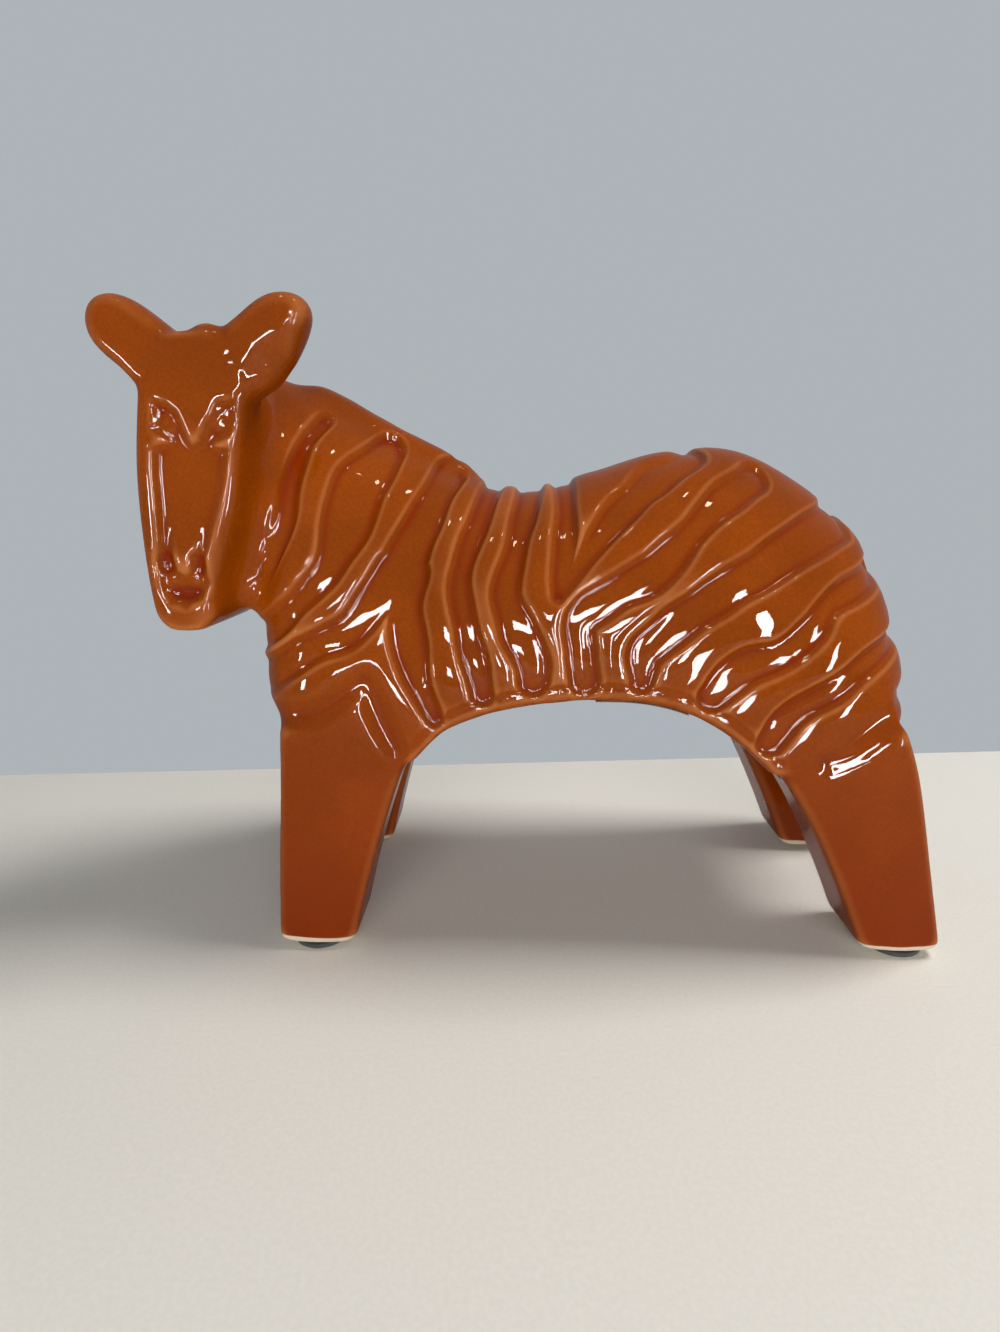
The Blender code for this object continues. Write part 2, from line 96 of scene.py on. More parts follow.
def curve_value(points: Line, at: float) -> float:
    """Read a smooth curve through points.

    Args:
        points: Position and value of each point, in order.
        at: Position to read the curve at.

    Returns:
        The curve's value there, held constant past both ends.
    """
    places = [p[0] for p in points]
    if at <= places[0]:
        return points[0][1]
    if at >= places[-1]:
        return points[-1][1]
    i = max(k for k, place in enumerate(places) if place <= at)

    def slope(k: int) -> float:
        """Slope of the curve at point k."""
        low, high = points[max(k - 1, 0)], points[min(k + 1, len(points) - 1)]
        return (high[1] - low[1]) / (high[0] - low[0])

    span = places[i + 1] - places[i]
    t = (at - places[i]) / span
    start = (1 + 2 * t) * (1 - t) ** 2 * points[i][1] + t * (1 - t) ** 2 * span * slope(i)
    end = t * t * (3 - 2 * t) * points[i + 1][1] - t * t * (1 - t) * span * slope(i + 1)
    return start + end


def curve_path(points: Sequence[tuple[float, ...]], step: float) -> np.ndarray:
    """Walk along the smooth curve through points.

    Args:
        points: Points of any dimension.
        step: Distance between the points that come back, in the same unit.

    Returns:
        One row per point.
    """
    knots = np.array(points, float)
    knots = np.vstack([2 * knots[0] - knots[1], knots, 2 * knots[-1] - knots[-2]])
    rows = []
    for a, b, c, d in zip(knots, knots[1:], knots[2:], knots[3:]):
        count = max(1, int(np.linalg.norm(c - b) / step))
        t = np.arange(count)[:, None] / count
        rows.append(b + 0.5 * t * (c - a + t * (2 * a - 5 * b + 4 * c - d + t * (3 * (b - c) + d - a))))
    return np.vstack([*rows, knots[-2:-1]])


def ease(value: np.ndarray) -> np.ndarray:
    """Soft step from 0 to 1 as value goes from 0 to 1."""
    t = np.clip(value, 0.0, 1.0)
    return t * t * (3 - 2 * t)


def fade(value: np.ndarray, start: float, width: float) -> np.ndarray:
    """Soft step from 0 where a value reaches start to 1 a width further on, which may be negative."""
    return ease((value - start) / width)


def soft_edge(outside: np.ndarray, width: float) -> np.ndarray:
    """Soft step from 1 inside an edge to 0 outside it, reaching width to both sides."""
    return ease(0.5 - outside / (2 * width))


def rounded(ring: Ring, times: int) -> Ring:
    """Cut the corners of a closed ring until it is smooth.

    Args:
        ring: Corner points.
        times: How often every corner is cut.

    Returns:
        The ring with 2 to the power of times as many points.
    """
    points = np.array(ring)
    for _ in range(times):
        following = np.roll(points, -1, axis=0)
        cut = np.stack([0.75 * points + 0.25 * following, 0.25 * points + 0.75 * following], axis=1)
        points = cut.reshape(-1, 3)
    return [tuple(p) for p in points]


def path_distance(flat: np.ndarray, path: np.ndarray, half_width: np.ndarray | float) -> np.ndarray:
    """Distance from points to a broad path, worked out some points at a time.

    Args:
        flat: One row of x and z per point.
        path: One row of x and z per point of the path.
        half_width: Half the path's width at each of its points.

    Returns:
        Distance to the path's edge, negative on the path.
    """
    found = np.empty(len(flat))
    for some in np.array_split(np.arange(len(flat)), max(1, len(flat) // POINTS_AT_A_TIME)):
        away = np.hypot(flat[some, None, 0] - path[:, 0], flat[some, None, 1] - path[:, 1])
        found[some] = (away - half_width).min(1)
    return found


def depth_inside(flat: np.ndarray, outline: Line) -> np.ndarray:
    """Distance from points to the edge of an outline.

    Args:
        flat: One row of x and z per point.
        outline: Corners of the outline as x and z.

    Returns:
        Distance to the nearest edge, positive inside the outline.
    """
    away = np.full(len(flat), np.inf)
    odd = np.zeros(len(flat), bool)
    for (ax, az), (bx, bz) in zip(outline, [*outline[1:], outline[0]]):
        edge = np.array([bx - ax, bz - az])
        rel = flat - (ax, az)
        t = np.clip(rel @ edge / (edge @ edge), 0, 1)
        away = np.minimum(away, np.linalg.norm(rel - t[:, None] * edge, axis=1))
        if az != bz:
            crosses = (az > flat[:, 1]) != (bz > flat[:, 1])
            odd ^= crosses & (flat[:, 0] < ax + (flat[:, 1] - az) * (bx - ax) / (bz - az))
    return np.where(odd, away, -away)


def neighbour_sum(values: np.ndarray, starts: np.ndarray, ends: np.ndarray) -> np.ndarray:
    """Add up the values of every point's neighbours.

    Args:
        values: One row per point.
        starts: Number of the point at one end of each edge.
        ends: Number of the point at its other end.

    Returns:
        One row of sums per point.
    """
    count = len(values)
    total = np.empty_like(values)
    for k, column in enumerate(values.T):
        total[:, k] = np.bincount(starts, column[ends], count) + np.bincount(ends, column[starts], count)
    return total


def finished(mesh: Mesh, name: str, material: Material) -> Object:
    """Turn a mesh that is no longer needed into an object of the scene.

    Args:
        mesh: The mesh, in metres; it is freed.
        name: Name of the object and its data.
        material: Finish of the object.

    Returns:
        The object.
    """
    data = bpy.data.meshes.new(name)
    mesh.to_mesh(data)
    mesh.free()
    data.materials.append(material)
    made = bpy.data.objects.new(data.name, data)
    bpy.context.scene.collection.objects.link(made)
    return made


class Clay:
    """Solid of clay lofted through rings. Sizes in millimetres."""

    def rings(self) -> list[Ring]:
        """Rings of equally many points from one end to the other."""
        raise NotImplementedError

    def add_to(self, mesh: Mesh) -> None:
        """Add the closed solid to a mesh.

        Args:
            mesh: Mesh in millimetres.
        """
        rows = [[mesh.verts.new(point) for point in ring] for ring in self.rings()]
        made = [mesh.faces.new(rows[0]), mesh.faces.new(rows[-1])]
        for row, following in zip(rows, rows[1:]):
            for k in range(len(row)):
                made.append(mesh.faces.new((row[k - 1], row[k], following[k], following[k - 1])))
        bmesh.ops.recalc_face_normals(mesh, faces=made)


@dataclass
class Trunk(Clay):
    """Trunk and neck: a dome-shaped section swept from the neck joint to the rump."""

    width: float = 89.5
    stations: int = 130
    dome_steps: int = 40
    rim_steps: int = 5
    chest_joint_z: float = 67.0
    rump_joint_z: float = 69.0
    chest_lift: float = 8.0
    chest_lift_length: float = 8.0
    back_line: Line = (
        (-79, 163.5), (-66, 158), (-51, 149.5), (-34, 141), (-25, 136.8), (-16, 133), (-4, 132.2),
        (16, 136.6), (33, 141.8), (50, 143.2), (62, 140.4), (80, 130), (88, 123.5), (95, 112), (101, 97),
        (107, 78),
    )
    arch_line: Line = (
        (-37, 57.5), (-28.6, 66.3), (-17.7, 71.4), (-4, 74.6), (14.5, 76.1), (33, 74.3), (48, 67.6),
        (63, 55),
    )
    plan_line: Line = (
        (-79, 0.72), (-74, 0.88), (-67, 0.97), (-55, 1), (72, 1), (86, 0.95), (95, 0.84), (102, 0.65),
        (107, 0.32),
    )
    rim_line: Line = ((-44, 0.4), (-38.5, 3), (62, 3), (68, 0.4))
    fullness_line: Line = ((-79, 2.0), (-40, 1.9), (0, 2.2), (60, 2.2), (107, 2))

    def belly_height(self, x: float) -> float:
        """Underside height: sloping leg joints at both ends, the arch between them.

        Args:
            x: Place along the body.

        Returns:
            Height above the ground.
        """
        fore, hind = self.arch_line[0], self.arch_line[-1]
        if x <= fore[0]:
            front = self.back_line[0][0]
            joint = fore[1] + (self.chest_joint_z - fore[1]) * (fore[0] - x) / (fore[0] - front)
            return joint + self.chest_lift * float(ease(1.0 - (x - front) / self.chest_lift_length))
        if x >= hind[0]:
            rear = self.back_line[-1][0]
            return hind[1] + (self.rump_joint_z - hind[1]) * (x - hind[0]) / (rear - hind[0])
        return curve_value(self.arch_line, x)

    def ring(self, x: float) -> Ring:
        """Cross-section from the near rim over the back to the far rim and along the belly.

        Args:
            x: Place along the body.

        Returns:
            The ring's points.
        """
        bottom = self.belly_height(x)
        top = curve_value(self.back_line, x)
        half = curve_value(self.plan_line, x) * self.width / 2
        rim = curve_value(self.rim_line, x)
        power = 2 / curve_value(self.fullness_line, x)
        half_ring = []
        for k in range(self.rim_steps):
            angle = math.pi / 2 * k / self.rim_steps
            half_ring.append((half - rim + rim * math.sin(angle), bottom + rim - rim * math.cos(angle)))
        for k in range(self.dome_steps + 1):
            angle = math.pi / 2 * k / self.dome_steps
            rise = math.sin(angle) ** power
            out = max(math.cos(angle), 0.0) ** power
            half_ring.append((half * out, bottom + rim + (top - bottom - rim) * rise))
        near = [(x, -y, z) for y, z in half_ring]
        return near + [(x, y, z) for y, z in reversed(half_ring[:-1])]

    def rings(self) -> list[Ring]:
        """Evenly spaced sections from neck joint to rump.

        Returns:
            One ring per station.
        """
        start, end = self.back_line[0][0], self.back_line[-1][0]
        spread = [k / self.stations for k in range(self.stations + 1)]
        return [self.ring(start + (end - start) * share) for share in spread]


@dataclass
class Leg(Clay):
    """One leg from sole to joint, a rounded bar that leans with its two edges."""

    place: Place
    side: Side
    trunk: Trunk
    sole: float = 1.8
    sole_round: float = 2.8
    thickness: float = 25.0
    corner: float = 2.4
    corner_step: int = 15
    bulge: float = 0.7
    bulge_steps: int = 8
    foot_shares: tuple[float, ...] = (0.0, 0.006, 0.015, 0.03, 0.045)
    first_step: int = 3
    steps: int = 40
    shoulder: Line = ((5.0, 1.5), (10.0, 5.0), (15.0, 10.0))

    def edges(self) -> tuple[Line, Line]:
        """Front and rear edge in side view.

        Returns:
            Height and x of each edge's points.
        """
        if self.place is Place.FORE:
            return (
                [(0, -77), (24, -75.5), (48, -73.5), (65, -72.5)],
                [(0, -55.5), (16, -51.5), (36, -45.5), (56.5, -38)],
            )
        return (
            [(0, 93), (16.5, 85.5), (36.5, 75), (53.5, 63.5)],
            [(0, 115), (26, 108.5), (51, 102), (64, 97)],
        )

    def ring(self, share: float, rise: float = 0.0, sink: float = 0.0) -> Ring:
        """Rounded rectangle around the leg, with a slightly full outer face.

        Args:
            share: Share of the way from sole to joint.
            rise: Height above that place.
            sink: How far the outer face lies further in.

        Returns:
            The ring's points.
        """
        ends = []
        for edge in self.edges():
            top = self.trunk.belly_height(edge[-1][1]) + self.corner
            x = curve_value(edge, self.sole + (edge[-1][0] - self.sole) * share)
            ends.append((x, self.sole + (top - self.sole) * share))
        (left, left_z), (right, right_z) = ends
        below = max(0.0, 1.0 - (left_z - self.sole) / self.sole_round)
        tuck = self.sole_round * (1.0 - math.sqrt(1.0 - below * below))
        left, right = left + tuck + sink / 2, right - tuck - sink / 2
        outer = self.trunk.width / 2 - self.bulge - tuck - sink
        inner = self.trunk.width / 2 - self.thickness + tuck
        corner = self.corner
        flat = []
        for x, y, first in (
            (right - corner, outer - corner, 0), (left + corner, outer - corner, 90),
            (left + corner, inner + corner, 180), (right - corner, inner + corner, 270),
        ):
            for turn in range(0, 91, self.corner_step):
                angle = math.radians(first + turn)
                flat.append((x + corner * math.cos(angle), y + corner * math.sin(angle)))
            if first == 0:
                for k in range(1, self.bulge_steps):
                    across = x + (left + corner - x) * k / self.bulge_steps
                    flat.append((across, outer + self.bulge * math.sin(math.pi * k / self.bulge_steps)))
        slope = (right_z - left_z) / (right - left)
        return [(x, self.side.value * y, rise + left_z + slope * (x - left)) for x, y in flat]

    def rings(self) -> list[Ring]:
        """Rings from the rounded sole to the shoulder inside the trunk.

        Returns:
            The rings, closest together at the sole.
        """
        shares = [k / self.steps for k in range(self.first_step, self.steps + 1)]
        rings = [self.ring(share) for share in (*self.foot_shares, *shares)]
        return rings + [self.ring(1.0, rise, sink) for rise, sink in self.shoulder]


@dataclass
class Head(Clay):
    """Head turned to the viewer: a flat face in front that sweeps back into the neck.

    Each level is z, left x, right x, rear right x and the share of the full depth.
    """

    trunk: Trunk
    depth: float = 62.0
    corner: float = 7.0
    corners_across: float = 2.5
    slant: float = 0.4
    side_start: float = 2.5
    cheek_length: float = 3.0
    cheek_share: float = 0.4
    border: float = 1.2
    flare: float = 15.0
    flare_share: float = 0.3
    roundings: int = 3
    steps: int = 60
    levels: tuple[tuple[float, ...], ...] = (
        (95, -99, -91, -91, 0.6), (97, -102, -88.5, -87, 0.7), (99.5, -103.6, -87, -82.5, 0.76),
        (102.5, -104.4, -86.3, -76.5, 0.81), (108, -104.9, -85, -72, 0.88), (117, -105.3, -82, -71, 0.95),
        (129, -105.3, -78.5, -71, 1.0), (139, -104.7, -76.8, -73, 1.0), (150, -103.2, -75.2, -76.5, 0.98),
        (157, -102, -74, -78, 0.94), (164, -100.5, -75.5, -79, 0.82), (168, -96.5, -79.5, -80, 0.64),
    )

    def ring(self, z: float) -> Ring:
        """Cross-section with a broad curve behind the left cheek.

        Args:
            z: Height of the section.

        Returns:
            The ring's points.
        """
        left, right, rear_right, fullness = (
            curve_value([(level[0], level[k]) for level in self.levels], z) for k in (1, 2, 3, 4))
        front = -self.trunk.width / 2
        back = front + self.depth * fullness
        corner = min(self.corner, (right - left) / self.corners_across)
        slant = self.slant * corner
        mouth = front + self.flare
        return rounded([
            (left + slant, front, z), (left, front + slant, z),
            (left, front + self.side_start * corner, z), (left, back - self.cheek_length * corner, z),
            (left + self.cheek_share * (rear_right - left), back, z), (rear_right - corner, back, z),
            (rear_right, back - corner, z), (rear_right, mouth + self.flare / 2, z),
            (rear_right + (right - rear_right) * self.flare_share, mouth, z),
            (right, front + self.border * corner, z), (right, front + slant, z), (right - slant, front, z),
        ], self.roundings)

    def rings(self) -> list[Ring]:
        """Evenly spaced sections from chin to crown.

        Returns:
            One ring per step.
        """
        low, high = self.levels[0][0], self.levels[-1][0]
        return [self.ring(low + (high - low) * k / self.steps) for k in range(self.steps + 1)]


@dataclass
class Slab(Clay):
    """Slab of clay with rounded edges, such as an ear, and an outline of x and z."""

    outline: Line
    front: float
    thickness: float = 12.0
    dish: float = 0.3
    dish_fade: Point2 = (2.5, 4.0)
    roundings: int = 2
    profile: Line = (
        (0.0, 0.66), (0.06, 0.82), (0.15, 0.93), (0.32, 0.99), (0.5, 1.0), (0.72, 0.97), (0.9, 0.84),
        (1.0, 0.6),
    )

    def rings(self) -> list[Ring]:
        """Outlines from front to back.

        Returns:
            One ring per point of the edge's profile.
        """
        middle = np.mean(self.outline, axis=0)
        rings = []
        for depth, size in self.profile:
            y = self.front + depth * self.thickness
            spots = middle + size * (np.array(self.outline) - middle)
            rings.append(rounded([(x, y, z) for x, z in spots], self.roundings))
        return rings

    def hollow(self, flat: np.ndarray) -> np.ndarray:
        """How far points (x, z) of the front lie inside its shallow dish."""
        return self.dish * fade(depth_inside(flat, self.outline), *self.dish_fade)


@dataclass
class Strip(Clay):
    """Strip of clay with an oval section laid along a line in the centre plane."""

    line: Line
    width: float
    height: float
    swell: float = 0.0
    step: float = 1.5
    end_size: float = 0.35
    end_rise: float = 6.0
    turns: int = 24

    def rings(self) -> list[Ring]:
        """Ovals along the line, smaller at both ends.

        Returns:
            One ring per step.
        """
        path = curve_path(self.line, self.step)
        rings = []
        for k, (x, z) in enumerate(path):
            ahead = path[min(k + 1, len(path) - 1)] - path[max(k - 1, 0)]
            out = np.array([-ahead[1], ahead[0]]) / np.linalg.norm(ahead) * self.height
            share = k / (len(path) - 1)
            taper = min(1.0, self.end_size + self.end_rise * min(share, 1 - share))
            half = self.width / 2 * (1 - self.swell + 2 * self.swell * share) * taper
            ring = []
            for turn in range(self.turns):
                angle = 2 * math.pi * turn / self.turns
                lift = math.cos(angle) * taper
                ring.append((x + out[0] * lift, half * math.sin(angle), z + out[1] * lift))
            rings.append(ring)
        return rings


@dataclass
class Forelock(Clay):
    """Small pellet of clay between the ears."""

    middle: Point3 = (-84.0, -39.5, 166.5)
    radii: Point3 = (5.0, 4.5, 4.2)

    def add_to(self, mesh: Mesh) -> None:
        """Add the solid to a mesh.

        Args:
            mesh: Mesh in millimetres.
        """
        ball = bmesh.ops.create_uvsphere(mesh, u_segments=32, v_segments=16, radius=1.0)["verts"]
        bmesh.ops.scale(mesh, vec=Vector(self.radii), verts=ball)
        bmesh.ops.translate(mesh, vec=Vector(self.middle), verts=ball)


@dataclass
class Stripes:
    """Grooves between the raised stripes, each a stroke of x, z and half width. Sizes in millimetres."""

    depth: float = 1.8
    wall: float = 1.1
    waver: float = 0.2
    leg_depth: float = 1.6
    leg_wall: float = 2.2
    crown: float = 0.3
    floor_rise: float = 0.25
    crown_width: float = 4.0
    rim_height: float = 4.4
    rim_depth: float = 0.55
    rim_width: float = 2.0
    throat_share: float = 0.5
    # Start and width of the soft steps where the relief ends
    throat_fade: Point2 = (-70.0, -8.0)
    neck_fade: Point2 = (1.0, 6.0)
    neck_top_fade: Point2 = (160.0, -4.0)
    chest_fade: Point2 = (104.0, -6.0)
    ear_fade: Point2 = (-40.0, 3.0)
    ear_bottom: float = 130.0
    farthest: float = 12.0
    margin: float = 8.0
    path_step: float = 0.8
    strokes: Sequence[Stroke] = (
        ((-63, 150, 2.4), (-67, 143, 2.2), (-69, 132, 2.6), (-71, 122, 2.8), (-75, 112, 2.6),
         (-79, 104, 1.4)),
        ((-46, 142, 5), (-51, 133, 7.2), (-54, 122, 6.6), (-58, 111, 4), (-65, 103, 3.4), (-73, 96, 3.6),
         (-82, 90, 3.6), (-90, 87, 3.6)),
        ((-28, 136, 4.5), (-33, 124, 4.8), (-38, 113, 6), (-41, 106, 6)),
        ((-41, 110, 5.4), (-46, 102, 5.2), (-52, 95, 4.6), (-62, 90, 4.3), (-72, 84, 4.5), (-81, 79, 4.5),
         (-90, 76, 4.5)),
        ((-37, 110, 5.4), (-38, 100, 5), (-36, 88, 4.6), (-33, 78, 2.9), (-30, 71, 2.4)),
        ((-13, 137, 2.7), (-19, 122, 2.8), (-23, 108, 2.9), (-21, 94, 3.4), (-18, 84, 3.4), (-17, 78, 3.2)),
        ((-3, 137, 3.8), (-8, 118, 3), (-11, 105, 3.8), (-8, 96, 4.9), (-4, 87, 4.7), (-3, 82, 4.2)),
        ((5, 138, 3), (5.5, 124, 2.8), (4, 112, 3.2), (3, 104, 1.6)),
        ((42, 141, 2.8), (31, 135, 3.9), (20, 126, 3.9), (10, 114, 2.6), (4, 105, 1.4)),
        ((57, 134, 4.4), (46, 128, 4.4), (38, 120, 3.6), (30, 112, 5.2), (17, 104, 4.8), (9, 98, 4.6),
         (9, 90, 3.8), (10, 82, 4.2)),
        ((82, 123, 5.6), (66, 116, 5.8), (48, 106, 5.3), (34, 97, 5.2), (26, 90, 4.8), (25, 82, 3.2)),
        ((91, 109, 4), (76, 102, 3.5), (70, 95, 4), (62, 89, 4.3), (50, 84, 5.4), (44, 78, 4.2)),
        ((99, 92, 3.4), (88, 87, 3.4), (77, 80, 3.6), (66, 73, 3.9), (60, 65, 4)),
    )
    leg_strokes: Sequence[Stroke] = (
        ((-48.5, 81.5, 2.4), (-53.5, 78, 2.6), (-61.5, 73, 2.8), (-71, 71.2, 2.8), (-80, 71, 2.6),
         (-90, 70.5, 2.6)),
        ((-48.5, 81.5, 2.4), (-46, 75.5, 3), (-43.3, 69, 3), (-40, 62, 2.6)),
        ((106, 77, 3.6), (93, 71, 3.8), (83, 64, 3.8), (76, 60, 3)),
    )

    def distance(self, flat: np.ndarray, strokes: Sequence[Stroke]) -> np.ndarray:
        """Distance from points to the nearest groove edge.

        Args:
            flat: One row of x and z per point.
            strokes: The grooves.

        Returns:
            Distance, negative inside a groove and never more than the farthest one that matters.
        """
        nearest = np.full(len(flat), self.farthest)
        for stroke in strokes:
            path = curve_path(stroke, self.path_step)
            line, half_width = path[:, :2], path[:, 2]
            reach = half_width.max() + self.margin
            close = ((flat > line.min(0) - reach) & (flat < line.max(0) + reach)).all(1)
            nearest[close] = np.minimum(nearest[close], path_distance(flat[close], line, half_width))
        return nearest

    def sink(self, flat: np.ndarray, arch: Line) -> np.ndarray:
        """How far points of the side move inward, with a line that sets off the arch's rim.

        Args:
            flat: One row of x and z per point.
            arch: Line of the arch under the belly.

        Returns:
            One depth per point, negative where a stripe's crown rises.
        """
        x, z = flat[:, 0], flat[:, 1]
        # Irregular wave of a hand-drawn edge
        wave = np.sin(0.36 * x + 1.6 * np.sin(0.19 * z)) + np.sin(0.40 * z + 1.3 * np.sin(0.23 * x))
        edge = self.distance(flat, self.strokes) + self.waver * wave
        leg_edge = self.distance(flat, self.leg_strokes)
        groove = self.depth * soft_edge(edge, self.wall)
        groove = np.maximum(groove, self.leg_depth * soft_edge(leg_edge, self.leg_wall))
        groove *= 1.0 - self.throat_share * fade(x, *self.throat_fade)
        floor = self.floor_rise * ease(-edge / self.crown_width)
        rim = curve_path(arch, 1.0) + (0.0, self.rim_height)
        close = z < rim[:, 1].max() + self.rim_width
        line = np.zeros(len(flat))
        line[close] = self.rim_depth * ease(1.0 - path_distance(flat[close], rim, 0.0) / self.rim_width)
        return np.maximum(groove - floor, line) - self.crown * ease(edge / self.crown_width)

    def on_body(self, flat: np.ndarray, neck_x: float) -> np.ndarray:
        """Share of the relief that each point (x, z) gets: all on neck and body, none on the head."""
        on_neck = fade(flat[:, 0] - neck_x, *self.neck_fade) * fade(flat[:, 1], *self.neck_top_fade)
        return np.maximum(on_neck, fade(flat[:, 1], *self.chest_fade))

    def behind_ear(self, points: np.ndarray) -> np.ndarray:
        """Share of the relief that each point keeps: none on the ear in front of the neck."""
        behind = fade(points[:, 1], *self.ear_fade) + (points[:, 2] < self.ear_bottom)
        return np.minimum(behind, 1.0)


@dataclass(frozen=True)
class Dimple:
    """Round dent in the face, or a swelling where its depth is negative. Sizes in millimetres."""

    x: float
    z: float
    depth: float
    squeeze: float
    radius: float
    flatness: float

    def sink(self, flat: np.ndarray) -> np.ndarray:
        """How far points (x, z) move inward."""
        away = np.hypot((flat[:, 0] - self.x) * self.squeeze, flat[:, 1] - self.z)
        return self.depth * ease(self.flatness - away / self.radius)


@dataclass
class Face:
    """Relief of the flat face inside its raised border. Outlines of x and z in millimetres."""

    recess_depth: float = 1.6
    wall: float = 1.5
    recess: Line = (
        (-96.9, 151.6), (-94.2, 150.9), (-92.2, 149.3), (-91.1, 146.3), (-89.9, 143.2), (-88.6, 141.6),
        (-86.7, 142.3), (-85, 144.9), (-82.6, 149), (-80.7, 151.3), (-78, 151.6), (-78.1, 147.6),
        (-79.3, 144.8), (-83.1, 141.8), (-80.5, 140.2), (-81.9, 133.4), (-84.1, 126.1), (-86.8, 118.7),
        (-88.7, 113.1),
        (-88.2, 107.2), (-90.4, 103.4), (-94, 101.5), (-97.8, 102.6), (-99.8, 105.9), (-100.4, 112.4),
        (-99.2, 118.7), (-98.8, 128.6), (-98.7, 135.9), (-98.2, 140.5), (-94.4, 142.7), (-97.6, 145.8),
    )
    pad_height: float = 1.4
    pad_fade: Point2 = (124.0, -12.0)
    nose_pad: Line = (
        (-96.3, 124), (-96.6, 113.6), (-95.4, 110.3), (-93.7, 109.3), (-91.7, 110.8), (-89.8, 114.9),
        (-88.1, 124),
    )
    nostrils: tuple[Dimple, Dimple] = (
        Dimple(-98.4, 112.6, 0.9, 1.5, 2.6, 1.6), Dimple(-90.2, 112.4, 0.9, 1.5, 2.6, 1.6))
    eyes: tuple[Dimple, Dimple] = (
        Dimple(-94.8, 147.0, -0.5, 1.0, 2.6, 1.5), Dimple(-81.0, 147.5, -0.5, 1.0, 2.6, 1.5))
    mouth: Dimple = Dimple(-94.2, 105.0, 0.9, 0.55, 2.2, 1.5)
    ear_tilt: float = 0.3
    ear_knee: float = 0.8
    ear_fold: Line = (
        (-76, 159), (-71.9, 164.9), (-62.9, 170.5), (-54, 173), (-45, 160), (-60, 145), (-74, 150),
    )
    front_fade: Point2 = (-36.0, -4.0)
    breadth: float = 26.0
    chin_z: float = 96.0

    def sink(self, flat: np.ndarray, ears: list[Slab]) -> np.ndarray:
        """How far points of face and ears move inward.

        Args:
            flat: One row of x and z per point.
            ears: Ears with a dish in their front.

        Returns:
            One depth per point.
        """
        deep = self.recess_depth * soft_edge(-depth_inside(flat, self.recess), self.wall)
        pad = soft_edge(-depth_inside(flat, self.nose_pad), self.wall) * fade(flat[:, 1], *self.pad_fade)
        deep -= self.pad_height * pad
        for dimple in (*self.nostrils, *self.eyes, self.mouth):
            deep += dimple.sink(flat)
        fold = depth_inside(flat, self.ear_fold)
        deep += self.ear_tilt * (fold + np.hypot(fold, self.ear_knee)) / 2
        for ear in ears:
            deep += ear.hollow(flat)
        return deep

    def in_front(self, flat: np.ndarray, y: np.ndarray, neck_x: float) -> np.ndarray:
        """Share of the relief that each point gets: all on the front of the head, none behind it."""
        near = (flat[:, 0] < neck_x + self.breadth) & (flat[:, 1] > self.chin_z)
        return fade(y, *self.front_fade) * near


@dataclass(frozen=True)
class Slip:
    """Box in which joining slip rounds out the creases, and how often it does. Sizes in millimetres."""

    low: Point3
    high: Point3
    times: int

    def holds(self, points: np.ndarray) -> np.ndarray:
        """Which points lie in the box."""
        return ((points > self.low) & (points < self.high)).all(1)


